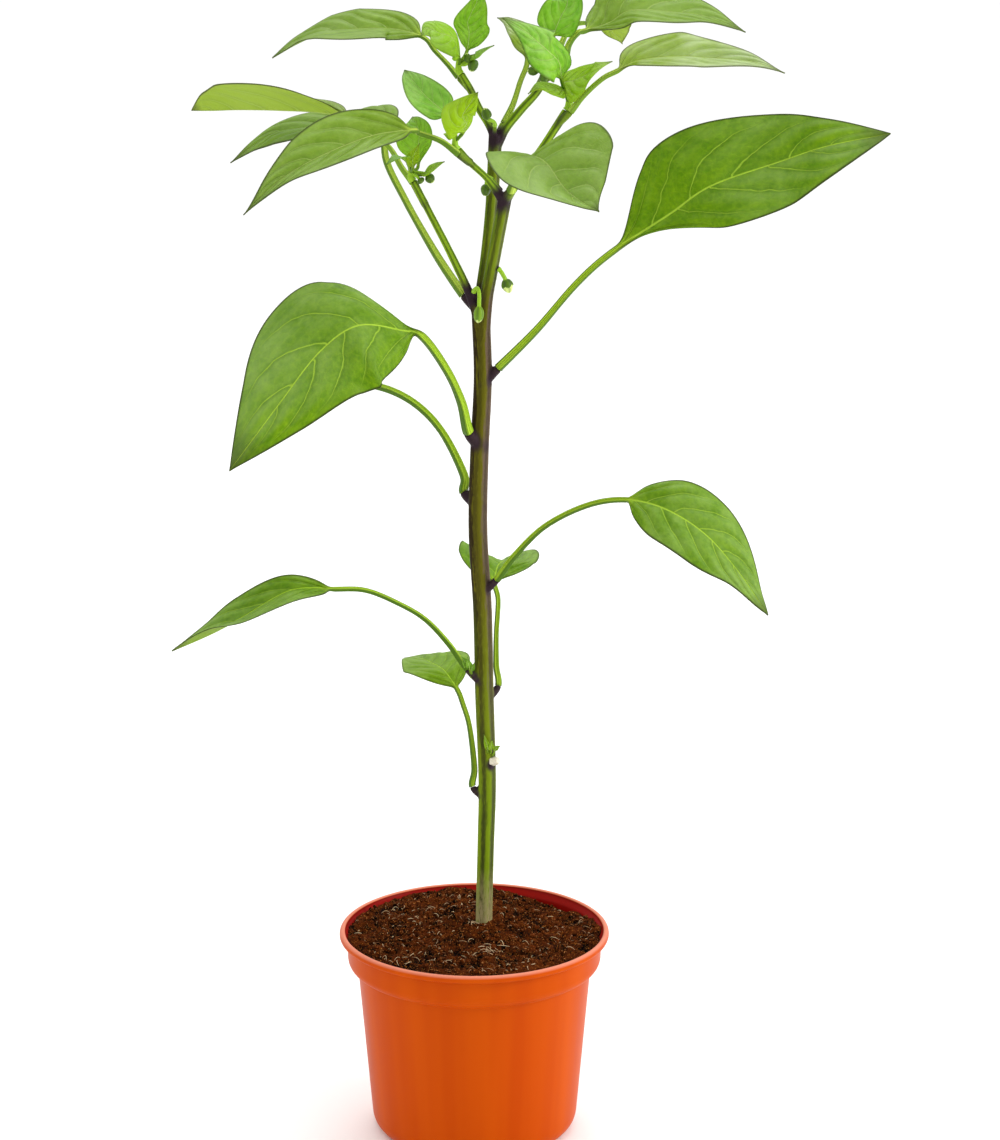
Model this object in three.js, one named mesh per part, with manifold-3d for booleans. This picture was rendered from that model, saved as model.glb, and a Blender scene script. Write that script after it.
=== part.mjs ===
// A potted chilli pepper plant: a ribbed stem that forks three times, stalked pointed leaves, young
// shoot tips and closed flower buds, in peat in a moulded plastic pot. Millimetres, +Z up, with the
// origin at the middle of the pot's underside. -Y is the plant's front.

import * as THREE from 'three';
import { mergeVertices } from 'three/addons/utils/BufferGeometryUtils.js';
import Module from 'manifold-3d';

const wasm = await Module();
wasm.setup();

// ---- Driving dimensions ------------------------------------------------------------------------

const GAP = 0.3; // between two pieces that touch

const POT = {
  height: 93,
  baseRadius: 41.8,
  baseThickness: 1.8,
  wall: 1.4,
  footRadius: 45.6, // outside, just above the rounded foot
  footHeight: 4.5,
  waistRadius: 51.9, // outside, just under the collar
  waistHeight: 76,
  collarRadius: 56.3,
  collarFoot: 79,
  lipRadius: 60,
  lipHeight: 3.5,
  sides: 48,
};
const DRAIN = { count: 6, radius: 3.2, circle: 29, sides: 10 };

const SOIL = { level: 91.2, mound: 2.4, moundRadius: 17, lumps: 0.55, dip: 2.8, sides: 36 };

const STEM_FOOT = { x: 4, y: 7.6, radius: 3.7, depth: 42 };
const CORE = { neck: 2, height: 5 }; // of a growing tip, past the end of its limb
const RIB = 0.07; // how far the stem's ribs stand out, as a share of its radius

const BLADE_EDGE = 0.7; // thickness of a leaf at its margin
const BLADE_TIP = 0.8; // thickness of its midrib at the tip

// ---- Shapes ------------------------------------------------------------------------------------

const point = ([x, y, z]) => new THREE.Vector3(x, y, z);
const curveThrough = (points) => new THREE.CatmullRomCurve3(points.map(point), false, 'catmullrom', 0.5);
const mix = THREE.MathUtils.lerp;

/**
 * A closed skin over a row of rings with the same number of points, which run counter-clockwise
 * seen from the far end. The two halves of a ring are split along opposite diagonals, so the upper
 * and the lower face of a flat section have the same triangles.
 */
function skin(rings) {
  const count = rings[0].length;
  const half = count / 2;
  const index = [];
  for (let i = 0; i < rings.length - 1; i++) {
    for (let k = 0; k < count; k++) {
      const [a, b] = [i * count + k, i * count + ((k + 1) % count)];
      const [c, d] = [a + count, b + count];
      if (k < half) index.push(a, b, d, a, d, c);
      else index.push(a, b, c, b, d, c);
    }
  }
  const last = (rings.length - 1) * count;
  for (let k = 1; k < count - 1; k++) index.push(0, k + 1, k, last, last + k, last + k + 1);
  const geometry = new THREE.BufferGeometry().setFromPoints(rings.flat());
  geometry.setIndex(index);
  return geometry;
}

/** A geometry as a manifold solid. */
function solid(geometry) {
  const bare = geometry.clone();
  bare.deleteAttribute('normal');
  bare.deleteAttribute('uv');
  const merged = mergeVertices(bare, 1e-4);
  return new wasm.Manifold(
    new wasm.Mesh({
      numProp: 3,
      vertProperties: new Float32Array(merged.attributes.position.array),
      triVerts: new Uint32Array(merged.index.array),
    })
  );
}

/** A manifold solid as a geometry. */
function surface(body) {
  const mesh = body.getMesh();
  const geometry = new THREE.BufferGeometry();
  geometry.setAttribute('position', new THREE.BufferAttribute(mesh.vertProperties, 3));
  geometry.setIndex(new THREE.BufferAttribute(mesh.triVerts, 1));
  return geometry;
}

/** Several geometries that run into each other, as one. */
function fuse(geometries) {
  return surface(geometries.map(solid).reduce((whole, next) => whole.add(next)));
}

/** Side directions for a row of tangents: each is the last one, turned as little as possible. */
function sidesAlong(tangents, first) {
  const sides = [];
  let side = first.clone();
  for (const tangent of tangents) {
    side = side.clone().addScaledVector(tangent, -side.dot(tangent)).normalize();
    sides.push(side);
  }
  return sides;
}

/**
 * A stem or stalk through the given places, or a share of it. Its radius runs evenly through the
 * radii, and with ridges it is ribbed. It starts `lift` past the start of its share.
 */
function limb(
  places,
  radii,
  { sides = 8, ridges = 0, spans = places.length - 1, share = [0, 1], lift = 0 } = {}
) {
  const curve = curveThrough(places);
  const stations = Array.from({ length: spans + 1 }, (_, i) => i / spans);
  const tangents = stations.map((t) => curve.getTangent(mix(...share, t)));
  const start = Math.abs(tangents[0].x) < 0.9 ? new THREE.Vector3(1, 0, 0) : new THREE.Vector3(0, 0, 1);
  const across = sidesAlong(tangents, start);
  const rings = stations.map((t, i) => {
    const centre = curve.getPoint(mix(...share, t));
    if (i === 0) centre.addScaledVector(tangents[0], lift);
    const place = Math.min(Math.floor(t * (radii.length - 1)), radii.length - 2);
    const radius = mix(radii[place], radii[place + 1], t * (radii.length - 1) - place);
    const up = tangents[i].clone().cross(across[i]);
    return Array.from({ length: sides }, (_, k) => {
      const angle = (2 * Math.PI * k) / sides;
      const reach = radius * (1 + (k % 2 ? -ridges : ridges));
      return centre
        .clone()
        .addScaledVector(across[i], reach * Math.cos(angle))
        .addScaledVector(up, reach * Math.sin(angle));
    });
  });
  return skin(rings);
}

/**
 * A leaf: a round stalk that widens into a thin pointed blade. The first place of the stalk is
 * inside what carries it and the second is its seat, where the leaf starts. The blade's half width
 * is W/2 sin(pi s^widest)^full for s from 0 at its base to 1 at its tip, narrowed over its first
 * `taper`. With a lean, one half is widest nearer the tip, and with a skew it is broader. The two
 * halves fold up from the midrib, curl down towards the margin and wave along it.
 */
function leaf({ stalk, blade, width, face, tipFace = face, radius = 1.6, widest = 0.72, full = 1.15,
  taper = 0.12, lean = 0, skew = 0, fold = 0.25, curl = -0.1, wave = 0.9, waves = 2.5, phase = 0,
  cells = 4, rings: bladeRings = 11, seated = true }) {
  const curve = curveThrough([...stalk, ...blade]);
  const spans = stalk.length + blade.length - 1;
  const base = (stalk.length - 1) / spans;
  const first = seated ? 1 / spans : 0;
  const stalkRings = Math.max(2, Math.round((base - first) * spans * 1.5));
  const stations = [
    ...Array.from({ length: stalkRings }, (_, i) => mix(first, base, i / stalkRings)),
    ...Array.from({ length: bladeRings + 1 }, (_, i) => mix(base, 1, i / bladeRings)),
  ];
  const tangents = stations.map((t) => curve.getTangent(t));
  const bladeSides = stations.slice(stalkRings).map((t, i) => {
    const up = point(face).lerp(point(tipFace), i / bladeRings);
    return tangents[stalkRings + i].clone().cross(up).normalize();
  });
  const stalkSides = sidesAlong(tangents.slice(0, stalkRings).reverse(), bladeSides[0]).reverse();
  const sides = [...stalkSides, ...bladeSides];

  const rings = stations.map((t, i) => {
    const s = Math.max(0, (t - base) / (1 - base)); // along the blade
    const along = Math.min(1, (t - first) / (base - first)); // along the stalk
    const thick = 2 * radius * mix(1.15, 0.85, Math.min(1, 2 * along));
    const rib = BLADE_TIP + (thick - BLADE_TIP) * (1 - s) ** 3;
    const flat = Math.min(1, s / 0.12);
    const edge = mix(thick * 0.45, BLADE_EDGE, flat);
    const centre = curve.getPoint(t);
    if (i === 0 && seated) centre.addScaledVector(tangents[0], GAP);
    const up = sides[i].clone().cross(tangents[i]);
    const place = (v, face) => {
      const late = Math.max(0, lean * v);
      const oval = s < 1 ? Math.sin(Math.PI * s ** (widest + late)) ** full : 0;
      const broad = (width / 2) * (1 + skew * Math.sign(v));
      const reach = broad * oval * (1 - Math.exp(-((s / (taper * (1 + 3 * late))) ** 2)));
      const half = Math.max(Math.hypot((thick / 2) * (1 - s) ** 3, reach), BLADE_EDGE / 2);
      const ripple = wave * Math.sin(2 * Math.PI * waves * s + phase + (v < 0 ? 1.9 : 0));
      const bend = (fold * Math.abs(v) + curl * v * v) * reach + ripple * v * v * Math.min(1, reach / 5);
      const depth = edge + (rib - edge) * (1 - v * v) ** mix(0.5, 3, flat);
      return centre
        .clone()
        .addScaledVector(sides[i], v * half)
        .addScaledVector(up, bend + (face * depth) / 2);
    };
    const across = Array.from({ length: cells + 1 }, (_, k) => (2 * k) / cells - 1);
    return [...across.map((v) => place(v, 1)), ...across.reverse().map((v) => place(v, -1))];
  });
  return skin(rings);
}

/** The short swollen foot on the stem that a leaf stalk or a bud's stalk is seated on. */
function cushion(places, radius) {
  const share = [0, 1 / (places.length - 1)];
  return limb(places, [radius * 1.45, radius * 1.35, radius * 1.2], { sides: 6, spans: 2, share });
}

/** A closed flower bud on a thin bent stalk, which swells from the share `start` of its line on. */
function bud({ places, size, start = 0.6, seated = true }) {
  const spans = seated ? 14 : 9;
  const radii = Array.from({ length: spans + 1 }, (_, i) => {
    const along = Math.max(0, (i / spans - start) / (1 - start));
    const round = 0.52 * Math.sin(Math.PI * Math.min(1, along)) ** 0.6;
    return size * Math.max(along < 0.5 ? 0.2 : 0.1, round);
  });
  const share = [seated ? 1 / (places.length - 1) : 0, 1];
  return limb(places, radii, { sides: 6, spans, share, lift: seated ? GAP : 0 });
}

// ---- Pot and soil ------------------------------------------------------------------------------

const INNER_BASE = POT.baseThickness;
const innerWaist = POT.waistRadius - POT.wall;
const innerCollar = POT.collarRadius - POT.wall;
const lipFoot = POT.height - POT.lipHeight;

// The lip's inside, downwards: nearly upright at its top, then rounded in to the collar.
const LIP_INSIDE = [
  [POT.lipRadius - 2.4, POT.height - 0.2],
  [POT.lipRadius - 2.7, POT.height - 1.4],
  [innerCollar + 0.5, lipFoot + 0.1],
  [innerCollar, lipFoot - 3],
];

/** Inside radius of the pot at a height above its floor. */
function innerRadius(z) {
  for (let i = 1; i < LIP_INSIDE.length; i++) {
    const [[high, top], [low, bottom]] = [LIP_INSIDE[i - 1], LIP_INSIDE[i]];
    if (z > bottom) return mix(low, high, Math.min(1, (z - bottom) / (top - bottom)));
  }
  if (z > POT.collarFoot) return innerCollar;
  if (z > POT.waistHeight) {
    return mix(innerWaist, innerCollar, (z - POT.waistHeight) / (POT.collarFoot - POT.waistHeight));
  }
  const up = (z - POT.footHeight) / (POT.waistHeight - POT.footHeight);
  return mix(POT.footRadius - POT.wall, innerWaist, up);
}

function pot() {
  const outside = [
    [0, 0],
    [POT.baseRadius, 0],
    [mix(POT.baseRadius, POT.footRadius, 0.7), POT.footHeight * 0.3],
    [POT.footRadius, POT.footHeight],
    [POT.waistRadius, POT.waistHeight],
    [POT.waistRadius + 2.6, POT.waistHeight + 0.7],
    [POT.collarRadius, POT.collarFoot],
    [POT.collarRadius + 0.2, lipFoot],
    [POT.lipRadius - 0.7, lipFoot + 0.2],
    [POT.lipRadius, lipFoot + 1.2],
    [POT.lipRadius - 0.2, POT.height - 0.8],
    [POT.lipRadius - 1.2, POT.height],
  ];
  const inside = [
    ...LIP_INSIDE,
    [innerCollar, POT.collarFoot],
    [innerWaist, POT.waistHeight],
    [POT.footRadius - POT.wall, POT.footHeight],
    [POT.baseRadius, INNER_BASE],
    [0, INNER_BASE],
  ];
  const profile = [...outside, ...inside].map(([r, z]) => new THREE.Vector2(r, z));
  const shell = new THREE.LatheGeometry(profile, POT.sides);
  shell.rotateX(Math.PI / 2); // the lathe turns about Y: stand the pot up along Z
  let body = solid(shell);
  for (let i = 0; i < DRAIN.count; i++) {
    const angle = (2 * Math.PI * (i + 0.5)) / DRAIN.count;
    const hole = new THREE.CylinderGeometry(DRAIN.radius, DRAIN.radius, 8, DRAIN.sides);
    hole.rotateX(Math.PI / 2);
    hole.translate(DRAIN.circle * Math.cos(angle), DRAIN.circle * Math.sin(angle), 0);
    body = body.subtract(solid(hole));
  }
  return surface(body);
}

/** Height of the soil: a low mound round the stem, lumps, and a dip on the far right. */
function soilHeight(x, y) {
  const away = Math.hypot(x - STEM_FOOT.x, y - STEM_FOOT.y) / SOIL.moundRadius;
  const lumps = Math.sin(0.31 * x + 1.7) * Math.cos(0.27 * y) + 0.6 * Math.sin(0.17 * x - 0.38 * y);
  const dip = SOIL.dip * Math.exp(-((x - 36) ** 2 + (y - 38) ** 2) / 500);
  return SOIL.level + SOIL.mound * Math.exp(-away * away) + SOIL.lumps * lumps - dip;
}

function soil() {
  const hole = STEM_FOOT.radius * (1 + RIB) + 2 * GAP; // clear of the ribs
  const foot = soilHeight(STEM_FOOT.x, STEM_FOOT.y) - STEM_FOOT.depth - GAP;
  const low = INNER_BASE + GAP;
  const ring = (place) =>
    Array.from({ length: SOIL.sides }, (_, k) => place((-2 * Math.PI * k) / SOIL.sides));
  const polar = (radius, angle, z) =>
    new THREE.Vector3(radius * Math.cos(angle), radius * Math.sin(angle), z);
  const edge = (angle) => {
    const { x, y } = polar(POT.lipRadius - 4, angle, 0);
    const z = soilHeight(x, y);
    return polar(innerRadius(z) - 1.5 * GAP, angle, z);
  };
  const underEdge = (angle) => {
    const z = Math.min(edge(angle).z - GAP, lipFoot);
    return polar(innerRadius(z) - 1.5 * GAP, angle, z);
  };
  const top = (share) => (angle) => {
    const bore = polar(hole, angle, 0).add(new THREE.Vector3(STEM_FOOT.x, STEM_FOOT.y, 0));
    const { x, y } = bore.lerp(edge(angle), share);
    return new THREE.Vector3(x, y, soilHeight(x, y));
  };
  const wall = (z) => (angle) => polar(innerRadius(z) - GAP, angle, z);
  return skin([
    ring((angle) => top(0)(angle).setZ(foot)),
    ...[0, 0.12, 0.3, 0.5, 0.72, 0.9].map((share) => ring(top(share))),
    ring(edge),
    ring(underEdge),
    ...[lipFoot - 3, POT.collarFoot, POT.waistHeight, POT.footHeight + GAP].map((z) => ring(wall(z))),
    ring((angle) => polar(0.93 * (innerRadius(low) - GAP), angle, low)),
  ]);
}

// ---- Places of the plant -----------------------------------------------------------------------

const soilAtStem = soilHeight(STEM_FOOT.x, STEM_FOOT.y);

// Each limb of the stem: the places it runs through and its radius at each, thick end first.
const LIMBS = {
  trunk: {
    places: [
      [STEM_FOOT.x, STEM_FOOT.y, soilAtStem - STEM_FOOT.depth], [4, 7.6, 70], [4, 7.6, 91],
      [4.9, 7, 129], [5.6, 6, 160], [4.4, 4, 200], [3.6, 2.5, 240], [1.7, 1, 275], [2.4, 0, 310],
      [3.9, 0, 343], [3, 0, 372],
    ],
    radii: [2.4, 3.6, 3.7, 3.7, 3.9, 4.1, 4.1, 4.1, 4, 3.9, 3.9],
  },
  front: {
    places: [[4, 0, 360], [5.4, -2, 377], [7.7, -4, 390], [11.8, -6, 412], [13.6, -7, 423]],
    radii: [3, 2.9, 2.8, 2.8, 3],
  },
  back: {
    places: [[3, 0, 362], [3.4, 3, 377], [5.7, 8, 394], [7.8, 12, 415], [9.4, 13, 445]],
    radii: [3, 2.8, 2.7, 2.7, 2.9],
  },
  left: {
    places: [[3, 0, 364], [-1, -1, 378], [-10, -3, 398], [-18, -4, 414], [-25, -5, 428]],
    radii: [2.2, 1.9, 1.6, 1.5, 1.6],
  },
  frontLeft: {
    places: [[13, -7, 420], [8, -8, 427], [5, -10, 431], [-1, -13, 437], [-6, -16, 443]],
    radii: [2.2, 1.7, 1.4, 1.4, 1.5],
  },
  frontRight: {
    places: [[13, -7, 419], [16, -7, 424], [22, -6, 432], [30, -3, 443], [39.2, -0.5, 456.8]],
    radii: [2.4, 2, 1.8, 1.7, 1.9],
  },
  backLeft: {
    places: [[10, 13, 442], [7, 13, 449], [2.6, 13, 456], [-1, 12, 464], [-5, 11, 471]],
    radii: [2.2, 1.9, 1.7, 1.6, 1.5],
  },
  backRight: {
    places: [[10, 13, 441], [14, 14, 448], [21, 16, 456], [28, 18, 464], [34, 22, 477]],
    radii: [2.4, 2, 1.8, 1.7, 1.8],
  },
};

// Each leaf: its stalk from inside the stem, by its seat, to the blade, then the blade's midrib, its
// width, and the way its upper face looks at the base and the tip.
const LEAVES = {
  leaf_bottom_left: {
    stalk: [[6, 6, 151], [-0.6, 6, 157], [0.1, 8.6, 165], [-2, 11.5, 183], [-5, 14, 193], [-7.5, 19, 198]],
    blade: [[-13, 27, 204], [-18, 35, 205], [-24.5, 46, 204.5], [-32, 65.5, 199]],
    width: 32, face: [0, -0.2, 0.9], tipFace: [0.04, -0.31, 0.9], radius: 1.25,
    widest: 0.84, full: 1.25, taper: 0.05, fold: 0.16, wave: 0.45,
  },
  leaf_low_back: {
    stalk: [[5, 4, 197], [10.6, 8, 203], [9.8, 12, 211], [9.8, 15, 224.5], [10.6, 19, 239], [9, 26, 245]],
    blade: [[10.5, 36, 250], [13, 45, 250], [12, 57.5, 247], [12, 73.5, 242]],
    width: 36, face: [0.07, -0.35, 0.95], tipFace: [-0.12, -0.42, 0.95], radius: 1.25,
    widest: 0.66, taper: 0.04, skew: -0.06, fold: 0.18, curl: 0.1, wave: 0.7, phase: 1.1,
  },
  leaf_low_left: {
    stalk: [[4, 3, 205], [-3, 0, 213], [-11, -3, 225.5], [-20.5, -8, 237.5], [-31, -14, 246],
      [-45.5, -20, 254], [-59, -25, 256]],
    blade: [[-77.5, -31, 257], [-98, -32, 245.5], [-112, -34, 238.5], [-128, -38.5, 232.5]],
    width: 30, face: [-0.05, -0.73, 1], tipFace: [-0.16, 0.24, 1], radius: 1.15,
    widest: 0.98, full: 1, taper: 0.05, skew: -0.35, fold: 0.45, curl: 0, wave: 0.1,
  },
  leaf_middle_right: {
    stalk: [[4, 2, 247], [10, -2, 254], [17.5, -8, 266], [30.5, -16, 281.3], [48, -25, 292.7],
      [64, -32, 297]],
    blade: [[80, -43, 296], [96.5, -52, 287.5], [110, -56, 273], [123, -64.5, 255.5]],
    width: 35, face: [0.19, -0.99, 0.6], tipFace: [0.55, -0.5, 0.5], radius: 1.3,
    widest: 0.82, full: 0.95, taper: 0.05, skew: -0.07, fold: 0.14, curl: -0.18, wave: 0.7, phase: 1.6,
  },
  leaf_middle_back: {
    stalk: [[2, 1, 286], [-4, 4, 291.5], [-4.3, 8, 298.5], [-14, 16, 316], [-26.5, 24, 327],
      [-42, 33, 332]],
    blade: [[-58, 41, 330.5], [-68, 49, 326], [-82, 58, 318], [-91, 65, 308.5]],
    width: 42, face: [-0.12, -0.5, 1], tipFace: [0, -0.2, 1], radius: 1.7, phase: 3,
  },
  leaf_big_left: {
    stalk: [[3, 0, 313], [-2, -5, 320], [-5, -11, 334.5], [-11, -19, 350], [-21, -27, 366]],
    blade: [[-29.5, -31.5, 369.5], [-47, -49.5, 375], [-62.5, -57, 365.5], [-79, -70, 346],
      [-98.5, -83, 321.5]],
    width: 58, face: [-0.28, -1.1, 0.8], tipFace: [-0.03, -0.97, 0.3], radius: 1.9,
    widest: 0.85, full: 0.98, taper: 0.22, lean: 0.12, skew: 0.06, fold: 0.09, curl: -0.28, phase: 1.5,
  },
  leaf_big_right: {
    stalk: [[4, 0, 340], [10.5, -1, 347], [27, -2, 364], [43.6, -4, 384], [58.6, -6, 398]],
    blade: [[82.5, -11, 415], [99.5, -15, 427.5], [128, -14, 437.5],
      [147.5, -20, 445], [173.3, -19, 450]],
    width: 48.5, face: [0.01, -0.96, 0.45], tipFace: [-0.26, -0.8, 0.45], radius: 1.6,
    widest: 0.64, full: 0.88, lean: 0.32, skew: -0.12, fold: 0.14, curl: -0.08, wave: 0.7, phase: 5.3,
  },
  leaf_upper_back: {
    stalk: [[2, 1, 372], [-4, 3, 378], [-13, 9, 390], [-21, 14, 402.5], [-29, 20, 416],
      [-37, 26, 431.5], [-39, 34, 443.5]],
    blade: [[-46, 45, 448.5], [-61.5, 55, 443], [-86.5, 65, 438.5], [-107, 67, 425]],
    width: 42, face: [0, 0, 0.97], tipFace: [0.16, -0.48, 0.97], radius: 1.6,
    widest: 0.76, full: 1.28, taper: 0.05, skew: -0.1, fold: 0.3, curl: -0.23, phase: 4.2,
  },
  leaf_upper_left: {
    stalk: [[-20, -4, 418], [-25, 0, 426], [-30, 3, 432.5], [-35, 8, 440], [-43, 14, 446], [-52, 23, 451]],
    blade: [[-66, 30.5, 452.5], [-83, 39, 452], [-101.5, 52, 450.5], [-113.5, 57, 449.5], [-123, 61, 449]],
    width: 37, face: [0.05, 0.12, 0.9], tipFace: [0, 0.35, 0.9], radius: 1.2,
    widest: 0.88, full: 0.95, taper: 0.06, skew: -0.12, fold: 0.58, curl: -0.15, wave: 0.2,
  },
  leaf_upper_front: {
    stalk: [[-1, -13, 437], [-6, -19, 441.5], [-13, -23, 447.5], [-22, -28, 451.5], [-24, -32, 453]],
    blade: [[-38, -39, 452.5], [-52, -48.5, 449], [-67.5, -59, 443], [-79, -65, 436], [-91.5, -74, 425]],
    width: 26, face: [0, -0.77, 0.9], tipFace: [0.15, -0.34, 0.9], radius: 1.25,
    widest: 0.7, full: 1.25, taper: 0.05, skew: 0.08, fold: 0.4, curl: -0.04, wave: 0.3, phase: 0.8,
  },
  leaf_front: {
    stalk: [[13, -7, 420], [16, -12, 425], [18, -19, 430.5], [23.5, -27, 438], [24, -36, 442.5]],
    blade: [[26.5, -48.5, 444.5], [31, -65.5, 443.5], [37, -81.5, 437],
      [44, -93, 433], [50.5, -99.5, 430.5]],
    width: 50, face: [-0.16, -0.27, 0.9], tipFace: [-0.2, -0.16, 0.9], radius: 1.65,
    widest: 0.9, full: 1.22, taper: 0.05, fold: 0.54, wave: 0.5, phase: 1.9,
  },
  leaf_top_left: {
    stalk: [[-1, 12, 464], [-6, 16, 468.7], [-10.3, 16, 474], [-16.2, 16.5, 480.2], [-21, 18, 485.5]],
    blade: [[-34, 22.5, 488.5], [-49, 21.5, 488.5], [-62, 25, 487], [-74, 28.5, 482], [-85.5, 29, 475.5]],
    width: 37, face: [-0.12, -0.4, 1], tipFace: [-0.15, -0.12, 1], radius: 1.05,
    widest: 0.76, full: 0.95, taper: 0.05, skew: -0.22, fold: 0.32, wave: 0,
  },
  leaf_top_right: {
    stalk: [[35.5, -1.5, 451.5], [40.8, -5, 457], [46, -5.8, 463.7], [54, -6, 471], [60, -6.5, 474.2]],
    blade: [[69, -5.5, 478.5], [84.5, -12, 481], [97.5, -13.5, 480.5], [115, -18, 479.5],
      [129, -19, 475]],
    width: 27, face: [-0.14, -0.5, 1], tipFace: [-0.25, -0.35, 1], radius: 1.2,
    full: 1.36, taper: 0.07, lean: 0.28, fold: 0.35, wave: 0,
  },
  leaf_top_back_right: {
    stalk: [[29, 18, 467], [38, 21, 473], [40.5, 24, 481.5], [44.5, 25.5, 486.5], [47.5, 28, 487]],
    blade: [[58, 33, 490], [67.5, 34.5, 495], [86, 36, 494], [100, 36, 492], [116, 32.5, 486]],
    width: 32, face: [-0.14, -0.47, 0.95], tipFace: [0.02, -0.38, 0.95], radius: 1.3,
    widest: 0.79, full: 1.18, taper: 0.04, lean: 0.1, skew: -0.18, fold: 0.18, curl: -0.04, wave: 0.1,
  },
  leaf_top_back: {
    stalk: [[27, 18, 463], [31, 26, 470], [37, 32, 480], [41, 41, 486.5], [47, 50, 488]],
    blade: [[54, 60.5, 485.5], [58, 74, 484.5], [62, 81, 479.5], [65.5, 89.5, 474.5]],
    width: 24, face: [0.02, 0.1, 1], tipFace: [-0.02, -0.04, 1], radius: 1.25,
    widest: 0.68, full: 1.26, taper: 0.1, lean: 0.1, fold: 0.1, curl: 0, wave: 0.7, phase: 2.4,
  },
  leaf_top_pale: {
    stalk: [[10, 13, 443], [13, 18, 449], [17, 20, 457], [20, 23, 466], [23, 26, 474]],
    blade: [[21.7, 30, 481], [19.2, 34, 486.3], [15.2, 38, 489.5], [10.3, 41, 491.2]],
    width: 11, face: [0.2, -0.8, 0.6], radius: 1.3, rings: 8,
  },
};

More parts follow.
